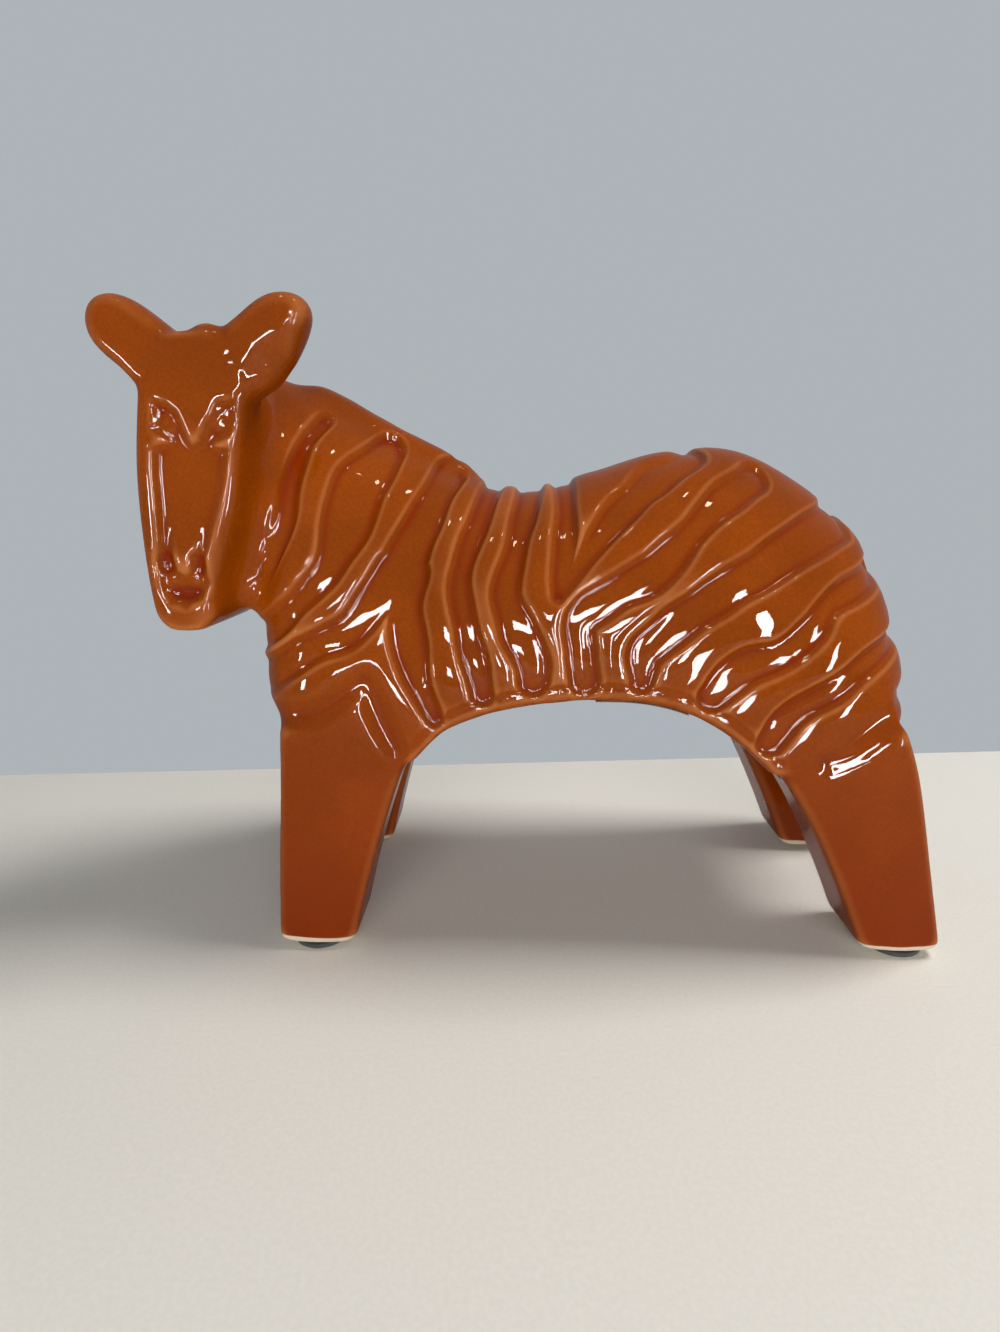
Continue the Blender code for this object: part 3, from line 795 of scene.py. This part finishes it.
class Skin:
    """Fine glazed surface: the solids fused by voxels, smoothed, with the relief pressed into it."""

    voxel: float = 0.62
    half_way: float = 0.5
    slip_turns: int = 25
    edge_turns: int = 10
    pool_turns: int = 60
    fold_turns: int = 10
    fold_flatness: float = 1.4
    fold_reach: float = 5.0
    cut_tolerance: float = 1e-9

    def __init__(self, solids: Mesh) -> None:
        """Fuse overlapping solids into one surface.

        Args:
            solids: The solids, in millimetres.
        """
        rough = bpy.data.meshes.new("clay")
        solids.to_mesh(rough)
        holder = bpy.data.objects.new("clay", rough)
        bpy.context.scene.collection.objects.link(holder)
        fuse = holder.modifiers.new("fuse", "REMESH")
        fuse.mode = "VOXEL"
        fuse.voxel_size = self.voxel
        fuse.use_smooth_shade = True
        graph = bpy.context.evaluated_depsgraph_get()
        self.mesh: bpy.types.Mesh = bpy.data.meshes.new_from_object(holder.evaluated_get(graph))
        bpy.data.objects.remove(holder)
        count = len(self.mesh.vertices)
        self.points = np.empty(count * 3)
        self.mesh.vertices.foreach_get("co", self.points)
        self.points = self.points.reshape(-1, 3)
        pairs = np.empty(len(self.mesh.edges) * 2, np.int64)
        self.mesh.edges.foreach_get("vertices", pairs)
        self.starts, self.ends = pairs[0::2], pairs[1::2]
        self.degree = np.bincount(pairs, minlength=count)[:, None]

    def average(self, values: np.ndarray) -> np.ndarray:
        """Mean of every point's neighbours."""
        return neighbour_sum(values, self.starts, self.ends) / self.degree

    def smooth(self, times: int, share: np.ndarray | float = half_way) -> None:
        """Move every point a share of the way to its neighbours' mean, several times."""
        for _ in range(times):
            self.points += share * (self.average(self.points) - self.points)

    def normals(self) -> np.ndarray:
        """Work out the outward directions.

        Returns:
            One direction per point.
        """
        self.mesh.vertices.foreach_set("co", self.points.ravel())
        self.mesh.update()
        found = np.empty(len(self.points) * 3)
        self.mesh.vertices.foreach_get("normal", found)
        return found.reshape(-1, 3)

    def fill(self, slip: Slip) -> None:
        """Round out creases as slip does in a joint: points rise, but never sink.

        Args:
            slip: Where, and how often every point rises towards its neighbours' mean.
        """
        chosen = slip.holds(self.points)
        number = np.cumsum(chosen) - 1
        kept = chosen[self.starts] & chosen[self.ends]
        starts, ends = number[self.starts[kept]], number[self.ends[kept]]
        count = int(chosen.sum())
        degree = np.bincount(starts, minlength=count) + np.bincount(ends, minlength=count)
        free = degree == self.degree[chosen, 0]
        degree = np.maximum(degree, 1)[:, None]
        for turn in range(slip.times):
            spots = self.points[chosen]
            if turn % self.slip_turns == 0:
                outward = self.normals()[chosen]
            mean = neighbour_sum(spots, starts, ends) / degree
            rise = ((mean - spots) * outward).sum(1).clip(0, None) * free
            self.points[chosen] = spots + outward * rise[:, None]

    def press(self, stripes: Stripes, face: Face, ears: list[Slab], trunk: Trunk) -> None:
        """Sink the stripe grooves into the body and the relief into face and ears.

        Args:
            stripes: Grooves of the body.
            face: Relief of the face.
            ears: Ears with a dish in their front.
            trunk: Body that the grooves run over.
        """
        outward = self.normals()
        flat = self.points[:, [0, 2]]
        neck_x = trunk.back_line[0][0]
        on_body = stripes.on_body(flat, neck_x)
        deep = stripes.sink(flat, trunk.arch_line) * on_body * stripes.behind_ear(self.points)
        self.points -= outward * deep[:, None]
        fold = stripes.distance(flat, stripes.leg_strokes)
        soft = ease(self.fold_flatness - fold / self.fold_reach) * on_body
        self.smooth(self.fold_turns, self.half_way * soft[:, None])
        self.points[:, 1] += face.sink(flat, ears) * face.in_front(flat, self.points[:, 1], neck_x)

    def hollowness(self, times: int) -> np.ndarray:
        """How far every point lies below the surface around it.

        Args:
            times: How often that surface is smoothed.

        Returns:
            One depth per point in millimetres, negative on ridges.
        """
        around = self.points.copy()
        for _ in range(times):
            around += self.half_way * (self.average(around) - around)
        return ((around - self.points) * self.normals()).sum(1)

    def finish(self) -> None:
        """Store glaze thickness cues and directions as attributes and turn millimetres into metres."""
        cues = {"edge": -self.hollowness(self.edge_turns), "pool": self.hollowness(self.pool_turns)}
        outward = self.normals()
        for name, values in cues.items():
            layer = self.mesh.attributes.new(name, "FLOAT", "POINT")
            layer.data.foreach_set("value", values)
        layer = self.mesh.attributes.new("outward", "FLOAT_VECTOR", "POINT")
        layer.data.foreach_set("vector", outward.ravel())
        self.mesh.vertices.foreach_set("co", self.points.ravel() * MM)
        self.mesh.update()

    def cut(self, name: str, planes: list[Plane], material: Material) -> Object:
        """Take the part of the surface in front of some planes as a closed piece.

        Args:
            name: Name of the piece.
            planes: A point on each plane and the direction that is kept.
            material: Finish of the piece.

        Returns:
            The new object.
        """
        piece = bmesh.new()
        piece.from_mesh(self.mesh)
        for point, kept in planes:
            geometry = [*piece.verts, *piece.edges, *piece.faces]
            bmesh.ops.bisect_plane(
                piece, geom=geometry, dist=self.cut_tolerance, plane_co=point, plane_no=kept,
                clear_inner=True)
            rim = [edge for edge in piece.edges if edge.is_boundary]
            lids = bmesh.ops.holes_fill(piece, edges=rim, sides=0)["faces"]
            bmesh.ops.triangulate(piece, faces=lids)
        bmesh.ops.recalc_face_normals(piece, faces=piece.faces)
        made = finished(piece, name, material)
        directions = np.empty(len(made.data.vertices) * 3)
        made.data.attributes["outward"].data.foreach_get("vector", directions)
        made.data.normals_split_custom_set_from_vertices(directions.reshape(-1, 3))
        return made


class Nodes:
    """Short way to build a material's node tree."""

    def __init__(self, tree: bpy.types.NodeTree) -> None:
        """Start on an existing tree."""
        self.tree = tree

    def set(self, socket: Socket, value: object) -> None:
        """Give an input a value, or a link where the value is another node's output.

        Args:
            socket: The input.
            value: Number, colour with alpha, or output socket.
        """
        if isinstance(value, Socket):
            self.tree.links.new(value, socket)
        else:
            socket.default_value = value

    def add(self, kind: str, **settings: object) -> bpy.types.Node:
        """Add a node and set its properties, or its inputs where the name is an input's.

        Args:
            kind: Node type without the ShaderNode prefix.
            settings: Values to set.

        Returns:
            The new node.
        """
        node = self.tree.nodes.new("ShaderNode" + kind)
        for name, value in settings.items():
            if hasattr(node, name):
                setattr(node, name, value)
                continue
            label = name.replace("_", " ").lower()
            self.set(next(s for s in node.inputs if s.name.lower() == label and s.enabled), value)
        return node

    def calculate(self, operation: str, *values: object) -> Socket:
        """Work out one number from others.

        Args:
            operation: Name of the Math node's operation.
            values: Numbers or output sockets, in order.

        Returns:
            The result's socket.
        """
        node = self.add("Math", operation=operation)
        for socket, value in zip(node.inputs, values):
            self.set(socket, value)
        return node.outputs["Value"]

    def soft_step(self, value: Socket, span: Point2) -> Socket:
        """Soft step from 0 at the span's start to 1 at its end."""
        ends = {"From_Min": span[0], "From_Max": span[1]}
        return self.add("MapRange", interpolation_type="SMOOTHSTEP", Value=value, **ends).outputs["Result"]

    def mix(self, share: Socket, start: object, end: object) -> Socket:
        """Blend from one colour to another.

        Args:
            share: Share of the end colour.
            start: Colour or output socket.
            end: Colour or output socket.

        Returns:
            The blended colour's socket.
        """
        node = self.add("Mix", data_type="RGBA", Factor=share)
        for name, value in (("A_Color", start), ("B_Color", end)):
            socket = next(s for s in node.inputs if s.identifier == name)
            self.set(socket, (*value, 1.0) if isinstance(value, tuple) else value)
        return next(s for s in node.outputs if s.identifier == "Result_Color")


@dataclass(frozen=True)
class Grain:
    """Uneven tone shared by every finish: one node group, placed with its own scale and strength."""

    scale: float
    strength: float
    name: str = "uneven_tone"
    detail: float = 3.0
    contrast: Point2 = (0.3, 0.7)

    def group(self) -> bpy.types.NodeTree:
        """Look up the node group, and build it the first time.

        Returns:
            The group.
        """
        known = bpy.data.node_groups.get(self.name)
        if known:
            return known
        group = bpy.data.node_groups.new(self.name, "ShaderNodeTree")
        for way, label, kind in (
            ("INPUT", "Colour", "Color"), ("INPUT", "Scale", "Float"), ("INPUT", "Strength", "Float"),
            ("OUTPUT", "Colour", "Color"), ("OUTPUT", "Tone", "Float"),
        ):
            group.interface.new_socket(label, in_out=way, socket_type=f"NodeSocket{kind}")
        nodes = Nodes(group)
        given = group.nodes.new("NodeGroupInput").outputs
        result = group.nodes.new("NodeGroupOutput").inputs
        place = nodes.add("TexCoord").outputs["Object"]
        tone = nodes.add("TexNoise", Vector=place, Scale=given["Scale"], Detail=self.detail).outputs["Fac"]
        darkest = nodes.calculate("SUBTRACT", 1.0, given["Strength"])
        step = nodes.soft_step(tone, self.contrast)
        level = nodes.add("MapRange", Value=step, To_Min=darkest).outputs["Result"]
        shade = nodes.add("VectorMath", operation="SCALE", Vector=given["Colour"], Scale=level)
        nodes.set(result["Colour"], shade.outputs["Vector"])
        nodes.set(result["Tone"], tone)
        return group

    def place(self, nodes: Nodes, colour: object) -> bpy.types.Node:
        """Put the group into a material's tree.

        Args:
            nodes: The material's nodes.
            colour: Colour, or its output socket, that the grain darkens.

        Returns:
            The group node.
        """
        node = nodes.add("Group", node_tree=self.group())
        nodes.set(node.inputs["Colour"], (*colour, 1.0) if isinstance(colour, tuple) else colour)
        nodes.set(node.inputs["Scale"], self.scale)
        nodes.set(node.inputs["Strength"], self.strength)
        return node


@dataclass(frozen=True)
class GlazeFinish:
    """Glossy amber glaze, thin and pale on ridges, pooled and dark in hollows, bare clay at the soles.

    Heights are in metres, and the spans of pool, ridge and crest are the attributes' millimetres.
    """

    middle: Colour = (0.285, 0.053, 0.0012)
    thin: Colour = (0.42, 0.135, 0.036)
    pooled: Colour = (0.18, 0.016, 0.0004)
    clay: Colour = (0.66, 0.56, 0.44)
    cloud: Grain = Grain(40.0, 0.2)
    speck: Grain = Grain(1300.0, 0.16)
    # Darker towards the bottom: from the first height down to the second, the colour mixes more and more
    # towards the pooled colour
    low_dark_span: Point2 = (0.085, 0.005)
    low_dark_share: float = 0.7
    pool_span: Point2 = (0.07, 0.8)
    ridge_span: Point2 = (0.03, 0.36)
    crest_span: Point2 = (-0.35, -1.3)
    sole_span: Point2 = (0.0056, 0.0052)
    sole_waver: float = 0.002
    roughness: float = 0.8
    gloss: float = 0.42
    gloss_roughness: float = 0.02
    gloss_index: float = 1.36

    def build(self) -> Material:
        """Make the material.

        Returns:
            The glaze.
        """
        material = bpy.data.materials.new("amber_glaze")
        material.use_nodes = True
        nodes = Nodes(material.node_tree)
        shader = material.node_tree.nodes["Principled BSDF"].inputs
        place = nodes.add("TexCoord").outputs["Object"]
        height = nodes.add("SeparateXYZ", Vector=place).outputs["Z"]
        edge = nodes.add("Attribute", attribute_name="edge").outputs["Fac"]
        pool = nodes.add("Attribute", attribute_name="pool").outputs["Fac"]
        cloud = self.cloud.place(nodes, self.middle).outputs
        speck = self.speck.place(nodes, cloud["Colour"]).outputs["Colour"]
        # Darker towards the bottom, mixed towards the pooled colour
        start, end = self.low_dark_span
        low_dark = nodes.add("MapRange", Value=height, From_Min=start, From_Max=end, To_Max=self.low_dark_share)
        darkened_low = nodes.mix(low_dark.outputs["Result"], speck, self.pooled)
        deep = nodes.mix(nodes.soft_step(pool, self.pool_span), darkened_low, self.pooled)
        ridge = nodes.mix(nodes.soft_step(edge, self.ridge_span), deep, self.thin)
        crest = nodes.mix(nodes.soft_step(pool, self.crest_span), ridge, self.thin)
        wavy = nodes.calculate("MULTIPLY_ADD", cloud["Tone"], self.sole_waver, height)
        bare = nodes.soft_step(wavy, self.sole_span)
        coat = nodes.add("MapRange", Value=bare, To_Min=self.gloss, To_Max=0.0).outputs["Result"]
        nodes.set(shader["Base Color"], nodes.mix(bare, crest, self.clay))
        nodes.set(shader["Roughness"], self.roughness)
        nodes.set(shader["Specular IOR Level"], 0.0)
        nodes.set(shader["Coat Weight"], coat)
        nodes.set(shader["Coat Roughness"], self.gloss_roughness)
        nodes.set(shader["Coat IOR"], self.gloss_index)
        return material


@dataclass(frozen=True)
class PlainFinish:
    """One colour with fine grain."""

    name: str
    colour: Colour
    roughness: float
    grain: Grain

    def build(self) -> Material:
        """Make the material.

        Returns:
            The finish.
        """
        material = bpy.data.materials.new(self.name)
        material.use_nodes = True
        nodes = Nodes(material.node_tree)
        shader = material.node_tree.nodes["Principled BSDF"].inputs
        nodes.set(shader["Roughness"], self.roughness)
        nodes.set(shader["Base Color"], self.grain.place(nodes, self.colour).outputs["Colour"])
        return material


@dataclass
class Animal:
    """All glazed clay of the figure, fused and cut into a head, two sides and four legs.

    Sizes in millimetres, apart from the three points of the cut through the neck, which are in metres.
    """

    glaze: GlazeFinish = GlazeFinish()
    trunk: Trunk = field(default_factory=Trunk)
    ear_set_back: float = 0.6
    left_ear: Line = (
        (-91, 168), (-96.5, 172.4), (-100.8, 175.6), (-104.3, 177.2), (-107.7, 177.7), (-111.3, 176.4),
        (-113.4, 173.3), (-113.6, 169.8), (-112.7, 166.5), (-109.6, 162.9), (-105.8, 160), (-102, 155.5),
        (-97, 152), (-90, 160),
    )
    right_ear: Line = (
        (-82, 168), (-75.8, 172.2), (-71.8, 175.4), (-67.9, 177.3), (-64.5, 177.7), (-61.1, 177.1),
        (-58.6, 174.9), (-58.3, 171.6), (-60.1, 167), (-62.4, 163), (-65, 159), (-69, 155), (-76, 152),
        (-82, 160),
    )
    throat: Line = (
        (-91, 97.5), (-88.2, 98.3), (-86, 99.7), (-84, 100.4), (-82, 100.1), (-80, 98.8), (-78.2, 97),
        (-77, 94.6), (-76.4, 91), (-74, 91), (-72, 108), (-86, 112), (-92, 104),
    )
    throat_front: float = -34.0
    throat_thickness: float = 44.0
    mane_places: tuple[float, ...] = (-74, -64, -54, -44, -34, -26, -20)
    mane_depth: float = 1.0
    tail_tip: tuple[Point2, Point2] = ((108, 70), (107.5, 62))
    head_slips: tuple[Slip, ...] = (
        Slip((-92, -50, 88), (-56, 40, 180), 160),
        Slip((-118, -50, 148), (-70, 10, 180), 60),
        Slip((-80, -16, 120), (-8, 16, 175), 50),
    )
    leg_slip_span: Point2 = (12, 50)
    leg_slip_bottom: float = 42
    leg_slip_turns: int = 80
    # Left, right and top of the boxes around a fore and a hind joint
    leg_slips: tuple[Point3, ...] = ((-84, -26, 84), (54, 112, 90))
    neck_crease: Slip = Slip((-84, -46, 94), (-64, 20, 166), 30)
    first_smoothing: int = 8
    second_smoothing: int = 7
    last_smoothing: int = 1
    neck_joint: tuple[Point3, ...] = (
        (-0.0634, -0.030, 0.150), (-0.0805, 0.022, 0.150), (-0.0840, -0.030, 0.095))

    def ears(self) -> list[Slab]:
        """Left and right ear."""
        front = -self.trunk.width / 2 + self.ear_set_back
        return [Slab(self.left_ear, front), Slab(self.right_ear, front)]

    def solids(self) -> Mesh:
        """Put every clay solid into one mesh.

        Returns:
            The mesh, in millimetres, with overlaps where pieces are luted.
        """
        back = self.trunk.back_line
        crest = [(x, curve_value(back, x) - self.mane_depth) for x in self.mane_places]
        parts: list[Clay] = [self.trunk, Head(self.trunk)]
        parts += [Leg(place, side, self.trunk) for place in Place for side in Side]
        parts += self.ears()
        parts.append(Slab(self.throat, self.throat_front, self.throat_thickness))
        parts.append(Strip(crest, width=15.0, height=4.0))
        parts.append(Strip([*back[-4:], *self.tail_tip], width=7.0, height=3.4, swell=0.2))
        parts.append(Forelock())
        mesh = bmesh.new()
        for part in parts:
            part.add_to(mesh)
        return mesh

    def skin(self) -> Skin:
        """Fuse the solids, brush slip into the joints and press the relief.

        Returns:
            The surface, in millimetres.
        """
        skin = Skin(self.solids())
        LOG.info("fused %d points", len(skin.points))
        skin.smooth(self.first_smoothing)
        for slip in self.head_slips:
            skin.fill(slip)
        for side in Side:
            near, far = sorted(side.value * y for y in self.leg_slip_span)
            for left, right, top in self.leg_slips:
                skin.fill(Slip((left, near, self.leg_slip_bottom), (right, far, top), self.leg_slip_turns))
        crease = self.neck_crease.holds(skin.points)
        skin.smooth(self.neck_crease.times, skin.half_way * crease[:, None])
        skin.smooth(self.second_smoothing)
        skin.press(Stripes(), Face(), self.ears(), self.trunk)
        skin.smooth(self.last_smoothing)
        return skin

    def head_plane(self) -> Plane:
        """Plane between neck and head that passes behind the right ear.

        Returns:
            A point on the plane, in metres, and the direction to the head.
        """
        joint, rear, below = (Vector(point) for point in self.neck_joint)
        way = (rear - joint).cross(below - joint).normalized()
        return joint, way * math.copysign(1, -way.x)

    def leg_planes(self, shift: float) -> dict[Place, Plane]:
        """Sloping planes in which the legs are luted to the trunk.

        Args:
            shift: How far the frame lies along X from the drawing.

        Returns:
            A point on each plane, in metres, and its upward direction.
        """
        trunk = self.trunk
        lines = {
            Place.FORE: ((trunk.back_line[0][0], trunk.chest_joint_z), trunk.arch_line[0]),
            Place.HIND: (trunk.arch_line[-1], (trunk.back_line[-1][0], trunk.rump_joint_z)),
        }
        planes = {}
        for place, (left, right) in lines.items():
            up = Vector((left[1] - right[1], 0, right[0] - left[0])).normalized()
            planes[place] = (Vector((left[0] + shift, 0, left[1])) * MM, up)
        return planes

    def build(self, shift: float) -> list[Object]:
        """Make the glazed pieces.

        Args:
            shift: How far the frame lies along X from the drawing.

        Returns:
            The head, then each side with its two legs.
        """
        skin = self.skin()
        skin.points[:, 0] += shift
        skin.finish()
        glaze = self.glaze.build()
        neck, head_way = self.head_plane()
        head = skin.cut("head_skin", [(neck, head_way)], glaze)
        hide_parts("head_shell", "left_ear", "right_ear", "forelock")
        pieces = [head]
        leg_planes = self.leg_planes(shift)
        middle = Vector((0, 0, 0))
        for side, strip in ((Side.NEAR, "mane"), (Side.FAR, "tail")):
            name = side.name.lower()
            half = (middle, Vector((0, side.value, 0)))
            body = skin.cut(f"{name}_skin", [half, *leg_planes.values(), (neck, -head_way)], glaze)
            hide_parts(f"{name}_side_shell", strip)
            pieces.append(body)
            for place, (point, up) in leg_planes.items():
                end = Vector((-1 if place is Place.FORE else 1, 0, 0))
                leg = skin.cut(f"{name}_{place.value}_leg_skin", [half, (point, -up), (middle, end)], glaze)
                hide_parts(f"{name}_{place.value}_leg")
                pieces.append(leg)
        return pieces


@dataclass
class FeltPads:
    """Black felt discs under the feet. Sizes in metres."""

    finish: PlainFinish = PlainFinish("black_felt", (0.012, 0.012, 0.014), 0.95, Grain(900.0, 0.6))
    names: tuple[str, ...] = ("near_fore_pad", "far_fore_pad", "near_hind_pad", "far_hind_pad")
    segments: int = 64
    edge_round: float = 0.0003

    def build(self) -> list[Object]:
        """Make one disc per pad node of the frame.

        Returns:
            The discs.
        """
        material = self.finish.build()
        made = []
        for name in self.names:
            low, high = (Vector(corner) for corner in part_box(name))
            radius, thickness = (high.x - low.x) / 2, high.z - low.z
            mesh = bmesh.new()
            bmesh.ops.create_cone(
                mesh, cap_ends=True, segments=self.segments, radius1=radius, radius2=radius, depth=thickness)
            bmesh.ops.translate(mesh, verts=mesh.verts, vec=(low + high) / 2)
            rims = [e for e in mesh.edges if abs(e.verts[0].co.z - e.verts[1].co.z) < thickness / 2]
            bmesh.ops.bevel(
                mesh, geom=rims, offset=self.edge_round, segments=2, profile=0.5, affect="EDGES",
                material=-1)
            pad = finished(mesh, f"{name}_felt", material)
            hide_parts(name)
            made.append(pad)
        return made


@dataclass
class Label:
    """Blank sticker under the belly, its near edge peeled, its dark colour painted shade. Sizes in metres,
    the gap in millimetres.
    """

    # Dark colour is painted shade: the paper is darkened to the shade it lies in under the belly
    finish: PlainFinish = PlainFinish("label_paper", (0.14, 0.115, 0.095), 0.8, Grain(900.0, 0.2))
    thickness: float = 0.0002
    gap: float = 0.2
    inset: float = 0.0012
    peel: float = 0.0002
    peel_width: float = 0.004
    peel_waver: float = 0.4
    peel_waves: float = 220.0
    columns: int = 30
    rows: int = 24

    def build(self, trunk: Trunk, shift: float) -> list[Object]:
        """Make the sticker along the belly inside the frame's label box.

        Args:
            trunk: Body whose underside the sticker follows.
            shift: How far the frame lies along X from the drawing, in millimetres.

        Returns:
            The sticker.
        """
        low, high = (Vector(corner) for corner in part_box("belly_label"))
        low.y += self.inset
        mesh = bmesh.new()
        bmesh.ops.create_grid(mesh, x_segments=self.columns, y_segments=self.rows, size=0.5)
        for corner in mesh.verts:
            x = low.x + (high.x - low.x) * (corner.co.x + 0.5)
            y = low.y + (high.y - low.y) * (corner.co.y + 0.5)
            loose = max(0.0, 1.0 - (y - low.y) / self.peel_width) ** 2
            waver = 1.0 - self.peel_waver + self.peel_waver * math.sin(self.peel_waves * x)
            sag = self.peel * loose * waver
            corner.co = (x, y, (trunk.belly_height(x / MM - shift) - self.gap) * MM - sag)
        bmesh.ops.solidify(mesh, geom=mesh.faces, thickness=self.thickness)
        bmesh.ops.recalc_face_normals(mesh, faces=mesh.faces)
        sticker = finished(mesh, "belly_sticker", self.finish.build())
        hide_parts("belly_label")
        return [sticker]


@dataclass(frozen=True)
class Softbox:
    """Rectangular light that points at the figure. Sizes in metres, power in watts."""

    name: str
    place: Point3
    size: Point2
    power: float
    reach: Reach
    tint: Colour = (1.0, 0.98, 0.95)
    aim: Point3 = (0.0, 0.0, 0.08)

    def build(self) -> None:
        """Hang the light."""
        light = bpy.data.lights.new(self.name, "AREA")
        light.shape = "RECTANGLE"
        light.size, light.size_y = self.size
        light.energy = self.power
        light.color = self.tint
        holder = bpy.data.objects.new(self.name, light)
        holder.location = self.place
        holder.rotation_euler = (Vector(self.aim) - Vector(self.place)).to_track_quat("-Z", "Y").to_euler()
        holder.visible_glossy = self.reach is Reach.MIRRORED
        holder.visible_diffuse = self.reach is Reach.SHADES
        bpy.context.scene.collection.objects.link(holder)


@dataclass
class Studio:
    """Table, wall, light and camera. Sizes in metres, angles in degrees."""

    cloth: PlainFinish = PlainFinish("table_cloth", (0.80, 0.78, 0.72), 0.9, Grain(900.0, 0.04))
    table_size: Point2 = (4.0, 2.0)
    table_corner: Point2 = (-0.095, 0.10)
    table_turn: float = 5.2
    wall: Colour = (0.42, 0.455, 0.48)
    wall_light: Colour = (0.20, 0.215, 0.235)
    room_light: Colour = (0.06, 0.06, 0.06)
    room_span: Point2 = (-0.25, 0.25)
    lamp_tint: Colour = (1.0, 0.85, 0.6)
    camera_place: Point3 = (-0.0082, -0.2284, 0.1301)
    pitch: float = 13.49
    yaw: float = -1.42
    focal_pixels: float = 719.8
    frame_height: int = 1332
    sensor: float = 36.0
    nearest_view: float = 0.01

    def table(self) -> None:
        """Lay a pale table top that ends where the wall begins."""
        x, y = self.table_corner
        width, depth = self.table_size
        mesh = bmesh.new()
        bmesh.ops.create_grid(mesh, x_segments=1, y_segments=1, size=0.5)
        bmesh.ops.scale(mesh, vec=Vector((width, depth, 1.0)), verts=mesh.verts)
        bmesh.ops.translate(mesh, vec=Vector((0, y - depth / 2, 0)), verts=mesh.verts)
        turn = Matrix.Rotation(math.radians(self.table_turn), 3, "Z")
        bmesh.ops.rotate(mesh, cent=Vector((x, y, 0)), matrix=turn, verts=mesh.verts)
        finished(mesh, "table", self.cloth.build())

    def room(self) -> None:
        """Show the grey wall to camera and mirrored rays, and light the figure less than the wall shows."""
        world = bpy.data.worlds.new("room")
        world.use_nodes = True
        nodes = Nodes(world.node_tree)
        way = nodes.add("SeparateXYZ", Vector=nodes.add("TexCoord").outputs["Generated"]).outputs["Y"]
        room = nodes.mix(nodes.soft_step(way, self.room_span), self.room_light, self.wall_light)
        rays = nodes.add("LightPath").outputs
        mirrored = nodes.calculate("MAXIMUM", rays["Is Glossy Ray"], rays["Is Transmission Ray"])
        seen = nodes.calculate("MAXIMUM", rays["Is Camera Ray"], mirrored)
        nodes.set(world.node_tree.nodes["Background"].inputs["Color"], nodes.mix(seen, room, self.wall))
        bpy.context.scene.world = world

    def lights(self) -> None:
        """Hang soft light above and in front, and the windows and ceiling lamps that the glaze mirrors."""
        shades, mirrored = Reach.SHADES, Reach.MIRRORED
        for light in (
            Softbox("overhead", (0.50, 0.05, 0.95), (0.40, 0.40), 7.4, shades),
            Softbox("front_fill", (0.0, -1.2, 0.34), (1.2, 0.5), 11.5, shades),
            Softbox("left_window", (-0.85, -0.95, 0.09), (0.10, 0.18), 6.0, mirrored),
            Softbox("right_window", (0.80, -1.00, 0.24), (0.10, 0.46), 16.0, mirrored),
            Softbox("front_window", (-0.05, -1.20, 0.50), (0.30, 0.12), 12.0, mirrored),
            Softbox("tall_window", (0.22, -1.20, 0.36), (0.05, 0.46), 8.0, mirrored),
            Softbox("low_window", (0.12, -0.27, 0.06), (0.03, 0.06), 0.55, mirrored),
            Softbox("low_front", (-0.19, -1.00, 0.13), (0.13, 0.08), 3.4, mirrored),
            Softbox("border_window", (0.04, -0.50, 0.11), (0.02, 0.18), 1.1, mirrored),
            Softbox("lamp_left", (-0.25, -0.2, 1.2), (0.07, 0.07), 1.2, mirrored, self.lamp_tint),
            Softbox("lamp_right", (0.3, -0.2, 1.2), (0.07, 0.07), 1.2, mirrored, self.lamp_tint),
        ):
            light.build()

    def camera(self) -> None:
        """Set the camera at the photo's place and angle."""
        lens = bpy.data.cameras.new("camera")
        lens.sensor_width = self.sensor
        lens.lens = self.focal_pixels / self.frame_height * self.sensor
        lens.clip_start = self.nearest_view
        holder = bpy.data.objects.new("camera", lens)
        yaw = Matrix.Rotation(math.radians(-self.yaw), 4, "Z")
        pitch = Matrix.Rotation(math.radians(90 - self.pitch), 4, "X")
        holder.matrix_world = Matrix.Translation(self.camera_place) @ yaw @ pitch
        bpy.context.scene.collection.objects.link(holder)
        bpy.context.scene.camera = holder

    def build(self) -> None:
        """Set up table, wall, lights and camera."""
        self.table()
        self.room()
        self.lights()
        self.camera()
        bpy.context.scene.view_settings.view_transform = "Standard"


def main() -> None:
    """Build the looks piece by piece."""
    logging.basicConfig(level=logging.INFO)
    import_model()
    animal = Animal()
    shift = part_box("near_side_shell")[0][0] / MM - animal.trunk.back_line[0][0]
    pieces = animal.build(shift)
    pieces += FeltPads().build()
    pieces += Label().build(animal.trunk, shift)
    for piece in pieces:
        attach(piece, "root")
        LOG.info("%s: %d faces", piece.name, len(piece.data.polygons))
    Studio().build()


if __name__ == "__main__":
    main()
